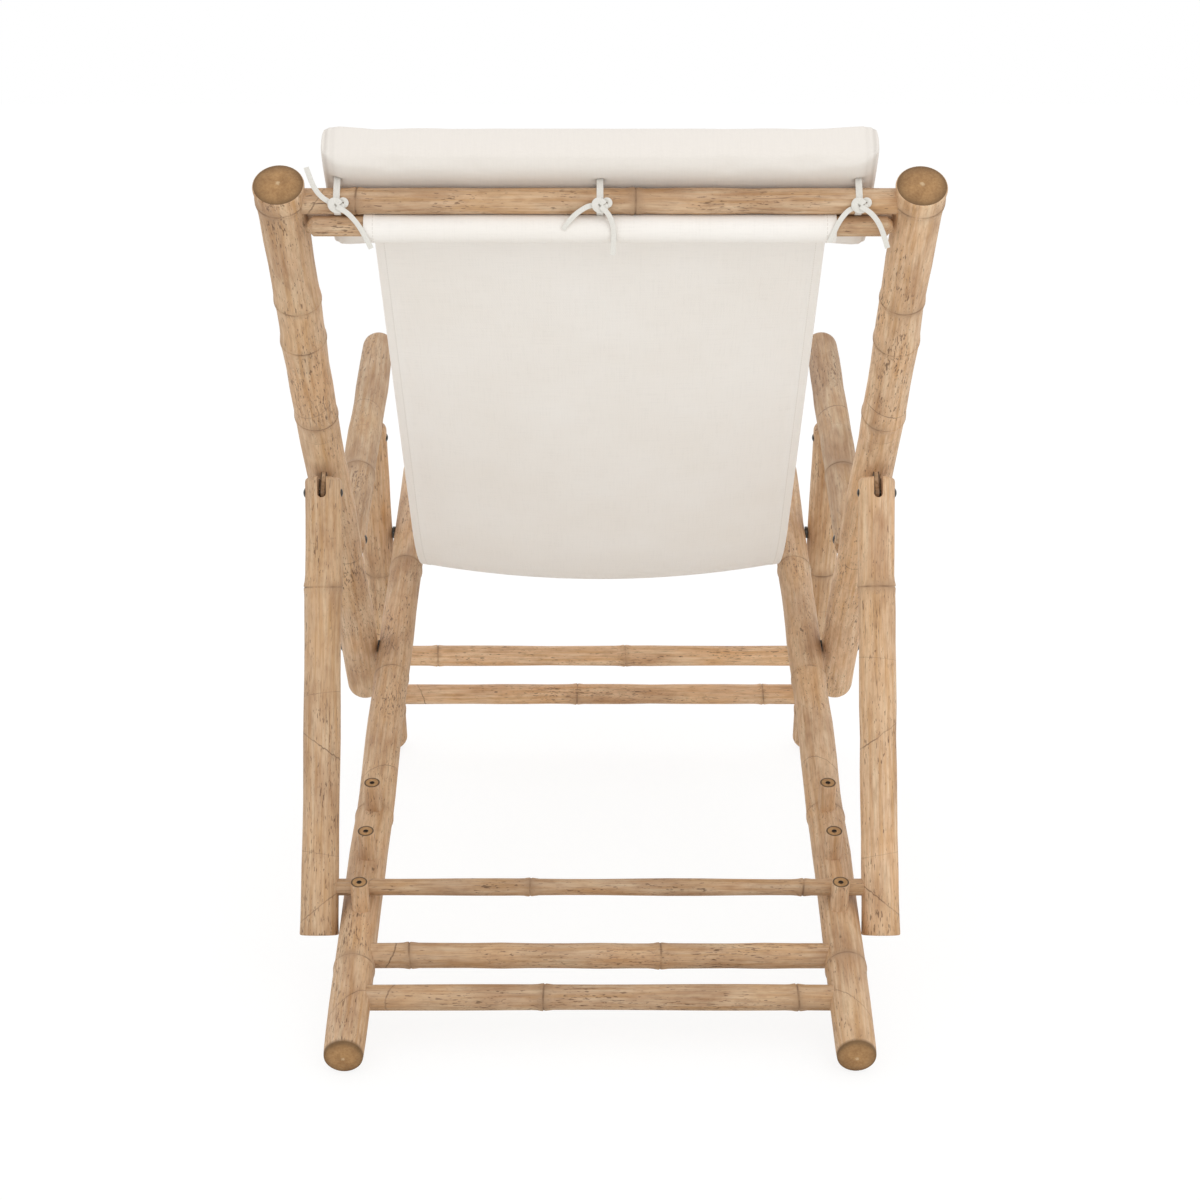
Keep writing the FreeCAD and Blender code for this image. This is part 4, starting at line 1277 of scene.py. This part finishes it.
def cotton_tape():
    """White cotton tape: a herringbone twill, matt and a little fuzzy."""
    if "cotton twill tape" in bpy.data.materials:
        return bpy.data.materials["cotton twill tape"]
    material, tree = new_material("cotton twill tape")
    place_at = add(tree, "ShaderNodeTexCoord").outputs["Object"]
    weave = woven(tree, place_at, 0.8 * MM)
    fuzz = stretched_noise(tree, place_at, (900, 900, 900), 2)
    shade = mix(
        tree,
        0.5,
        tuple(settings("recliner_pillow").tape),
        ramp(tree, fuzz, (0.3, 0.86), (0.6, 1.0)),
        "MULTIPLY",
    )
    normal = bumped(tree, 0.3, 0.2, math_node(tree, "ADD", weave, fuzz))
    principled(
        tree,
        {"Roughness": 0.85, "IOR": 1.45, "Specular IOR Level": 0.3, "Sheen Weight": 0.15},
        {"Base Color": shade, "Normal": normal},
    )
    return material


def darkened_steel():
    """Domed bolt heads, nuts and washers of steel that weather has darkened to near black, still smooth
    enough for a bright glint."""
    material, tree = new_material("weather-darkened steel")
    place_at = add(tree, "ShaderNodeTexCoord").outputs["Object"]
    spots = stretched_noise(tree, place_at, (420, 420, 420), 3)
    tint = ramp(tree, spots, (0.35, linear("#2B2927")), (0.6, linear("#5C5955")))
    rough = ramp(tree, spots, (0.35, 0.42), (0.65, 0.24))
    principled(tree, {"Metallic": 1.0}, {"Base Color": tint, "Roughness": rough})
    return material


def worn_hardwood(node):
    """A tongue sawn from hardwood: its outer edge is weathered like the bamboo, and painted shade darkens its sides
    where they sit in the slot of its fork."""
    low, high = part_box(node)
    material, tree = new_material("hardwood of " + node.replace("_", " "))
    place_at = add(tree, "ShaderNodeTexCoord").outputs["Object"]
    turn = math.radians(BACK_SLOPE - 90)
    mapping = add(tree, "ShaderNodeMapping", {"Rotation": (turn, 0, 0)}, {"Vector": place_at})
    grain = stretched_noise(tree, mapping.outputs["Vector"], (300, 60, 300), 4, 0.6)
    shade = ramp(tree, grain, (0.3, linear("#937655")), (0.5, linear("#BC9C79")), (0.7, linear("#CDB090")))
    across = add(tree, "ShaderNodeSeparateXYZ", links={"Vector": place_at}).outputs["X"]
    off_middle = math_node(tree, "ABSOLUTE", math_node(tree, "SUBTRACT", across, (low.x + high.x) / 2), 0)
    share = math_node(tree, "DIVIDE", off_middle, (high.x - low.x) / 2)
    # Painted shade: the sides of the tongue, which sit in the fork's slot, are darkened to near black
    slot_shade = ramp(tree, share, (0.56, 0.0), (0.74, 1.0))
    shade = mix(tree, math_node(tree, "MULTIPLY", slot_shade, 0.85), shade, linear("#33271D"))
    links = {"Base Color": shade, "Normal": bumped(tree, 0.25, 0.3, grain)}
    principled(tree, {"Roughness": 0.55, "IOR": 1.5}, links)
    return material


FITTINGS = (
    "back_pivot_screws",
    "leg_pivot_screws",
    "back_pivot_spacers",
    "leg_pivot_spacers",
    "leg_top_bolt",
    "leg_top_nut",
    "armrest_left_bolt",
    "armrest_left_nut",
    "armrest_right_bolt",
    "armrest_right_nut",
    "prop_bolt",
    "prop_nut",
)
TONGUES = (
    "prop_tongue_left",
    "prop_tongue_right",
    "armrest_tongue_left",
    "armrest_tongue_right",
    "leg_tongue_left",
    "leg_tongue_right",
)


class RECLINER_OT_canvas(bpy.types.Operator):
    """Makes the canvas sling"""

    bl_idname = "recliner.canvas"
    bl_label = "Canvas sling"

    def execute(self, context):
        make_canvas()
        return {"FINISHED"}


class RECLINER_OT_pillow(bpy.types.Operator):
    """Makes the head pillow"""

    bl_idname = "recliner.pillow"
    bl_label = "Head pillow"

    def execute(self, context):
        make_pillow()
        return {"FINISHED"}


class RECLINER_OT_ties(bpy.types.Operator):
    """Makes the three ties of the pillow"""

    bl_idname = "recliner.ties"
    bl_label = "Pillow ties"

    def execute(self, context):
        for node in TAILS:
            make_tie(node)
        return {"FINISHED"}


class RECLINER_OT_fittings(bpy.types.Operator):
    """Gives the bolts, nuts, screws, washers and tongues of the frame their finish"""

    bl_idname = "recliner.fittings"
    bl_label = "Fittings"

    def execute(self, context):
        steel = darkened_steel()
        finishes = {**{name: steel for name in FITTINGS}, **{name: worn_hardwood(name) for name in TONGUES}}
        for name, material in finishes.items():
            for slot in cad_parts[name].material_slots:
                slot.material = material
        return {"FINISHED"}


# Lamps: name, place in metres, size in metres and the setting that holds the power. All point at the target.
LAMPS = (
    ("key", (-0.9, 2.9, 2.4), 2.2, "key"),
    ("low", (0.8, 3.3, 0.5), 1.6, "fill"),
    ("front", (0.4, -2.8, 2.0), 2.4, "front"),
)
LAMP_TARGET = (0, 0, 0.45)

# How bright the floor's own white is to the camera, and how much of it the camera sees over the matt floor
FLOOR_GLOW = 1.045
FLOOR_SEEN = 0.8


def add_lamp(name, location, target, size, power):
    """A square area lamp that points at a target."""
    data = bpy.data.lights.new(name, "AREA")
    data.size = size
    data.energy = power
    lamp = bpy.data.objects.new(name, data)
    bpy.context.scene.collection.objects.link(lamp)
    lamp.location = location
    lamp.rotation_euler = (Vector(target) - Vector(location)).to_track_quat("-Z", "Y").to_euler()
    return lamp


class RECLINER_OT_stage(bpy.types.Operator):
    """Makes the floor, the lamps, the surrounding light and the camera"""

    bl_idname = "recliner.stage"
    bl_label = "Stage"

    def execute(self, context):
        stage = settings("recliner_stage")
        scene = context.scene
        clear_selection()
        bpy.ops.mesh.primitive_plane_add(size=40)
        floor = context.object
        floor.name = "floor"
        floor.data.materials.append(pale_floor())
        for name, location, size, power in LAMPS:
            add_lamp(name, location, LAMP_TARGET, size, getattr(stage, power))
        world = bpy.data.worlds.new("studio")
        scene.world = world
        world.use_nodes = True
        tree = world.node_tree
        tree.nodes.clear()
        rays = add(tree, "ShaderNodeLightPath")
        seen = math_node(tree, "MAXIMUM", rays.outputs["Is Camera Ray"], rays.outputs["Is Glossy Ray"])
        seen = math_node(tree, "MAXIMUM", seen, rays.outputs["Is Transmission Ray"])
        around = add(tree, "ShaderNodeBackground", {"Color": (1, 1, 1, 1), "Strength": stage.sky})
        backdrop = add(tree, "ShaderNodeBackground", {"Color": (1, 1, 1, 1), "Strength": 1.0})
        both = add(tree, "ShaderNodeMixShader", links={"Fac": seen})
        tree.links.new(around.outputs[0], both.inputs[1])
        tree.links.new(backdrop.outputs[0], both.inputs[2])
        output = tree.nodes.new("ShaderNodeOutputWorld")
        tree.links.new(both.outputs[0], output.inputs["Surface"])
        data = bpy.data.cameras.new("camera")
        data.lens = stage.lens
        data.sensor_width = 36
        camera = bpy.data.objects.new("camera", data)
        scene.collection.objects.link(camera)
        camera.location = (0, stage.distance, stage.height)
        camera.rotation_euler = (math.radians(90 - stage.pitch), 0, math.pi)
        scene.camera = camera
        scene.view_settings.view_transform = "Standard"
        return {"FINISHED"}


def pale_floor():
    """Matt white studio floor: the camera sees it almost white, with the chair's soft shadow kept."""
    stage = settings("recliner_stage")
    material, tree = new_material("matt studio floor")
    rays = add(tree, "ShaderNodeLightPath")
    matt = add(tree, "ShaderNodeBsdfDiffuse", {"Color": (*stage.floor, 1)})
    glow = add(tree, "ShaderNodeEmission", {"Color": (1, 1, 1, 1), "Strength": FLOOR_GLOW})
    seen = math_node(tree, "MULTIPLY", rays.outputs["Is Camera Ray"], FLOOR_SEEN)
    both = add(tree, "ShaderNodeMixShader", links={"Fac": seen})
    tree.links.new(matt.outputs[0], both.inputs[1])
    tree.links.new(glow.outputs[0], both.inputs[2])
    close_material(tree, both.outputs[0])
    return material


class RECLINER_PT_panel(bpy.types.Panel):
    """Lists the steps that dress the recliner"""

    bl_idname = "RECLINER_PT_panel"
    bl_label = "Recliner"
    bl_space_type = "VIEW_3D"
    bl_region_type = "UI"
    bl_category = "Recliner"

    def draw(self, context):
        for group in SETTINGS:
            box = self.layout.box()
            for name in getattr(context.scene, group).__annotations__:
                box.prop(getattr(context.scene, group), name)
        for step in STEPS:
            self.layout.operator(step.bl_idname)


SETTINGS = {
    "recliner_bamboo": BambooSettings,
    "recliner_canvas": CanvasSettings,
    "recliner_pillow": PillowSettings,
    "recliner_stage": StageSettings,
}
STEPS = (
    RECLINER_OT_stage,
    RECLINER_OT_poles,
    RECLINER_OT_bars,
    RECLINER_OT_pegs,
    RECLINER_OT_rods,
    RECLINER_OT_canvas,
    RECLINER_OT_pillow,
    RECLINER_OT_ties,
    RECLINER_OT_fittings,
)


def register():
    for kind in (*SETTINGS.values(), *STEPS, RECLINER_PT_panel):
        bpy.utils.register_class(kind)
    for name, kind in SETTINGS.items():
        setattr(bpy.types.Scene, name, bpy.props.PointerProperty(type=kind))


def unregister():
    for name in SETTINGS:
        delattr(bpy.types.Scene, name)
    for kind in reversed((*SETTINGS.values(), *STEPS, RECLINER_PT_panel)):
        bpy.utils.unregister_class(kind)


def main():
    register()
    bpy.ops.recliner.stage()
    bpy.ops.recliner.poles()
    bpy.ops.recliner.bars()
    bpy.ops.recliner.pegs()
    bpy.ops.recliner.rods()
    bpy.ops.recliner.canvas()
    bpy.ops.recliner.pillow()
    bpy.ops.recliner.ties()
    bpy.ops.recliner.fittings()


if __name__ == "__main__":
    main()
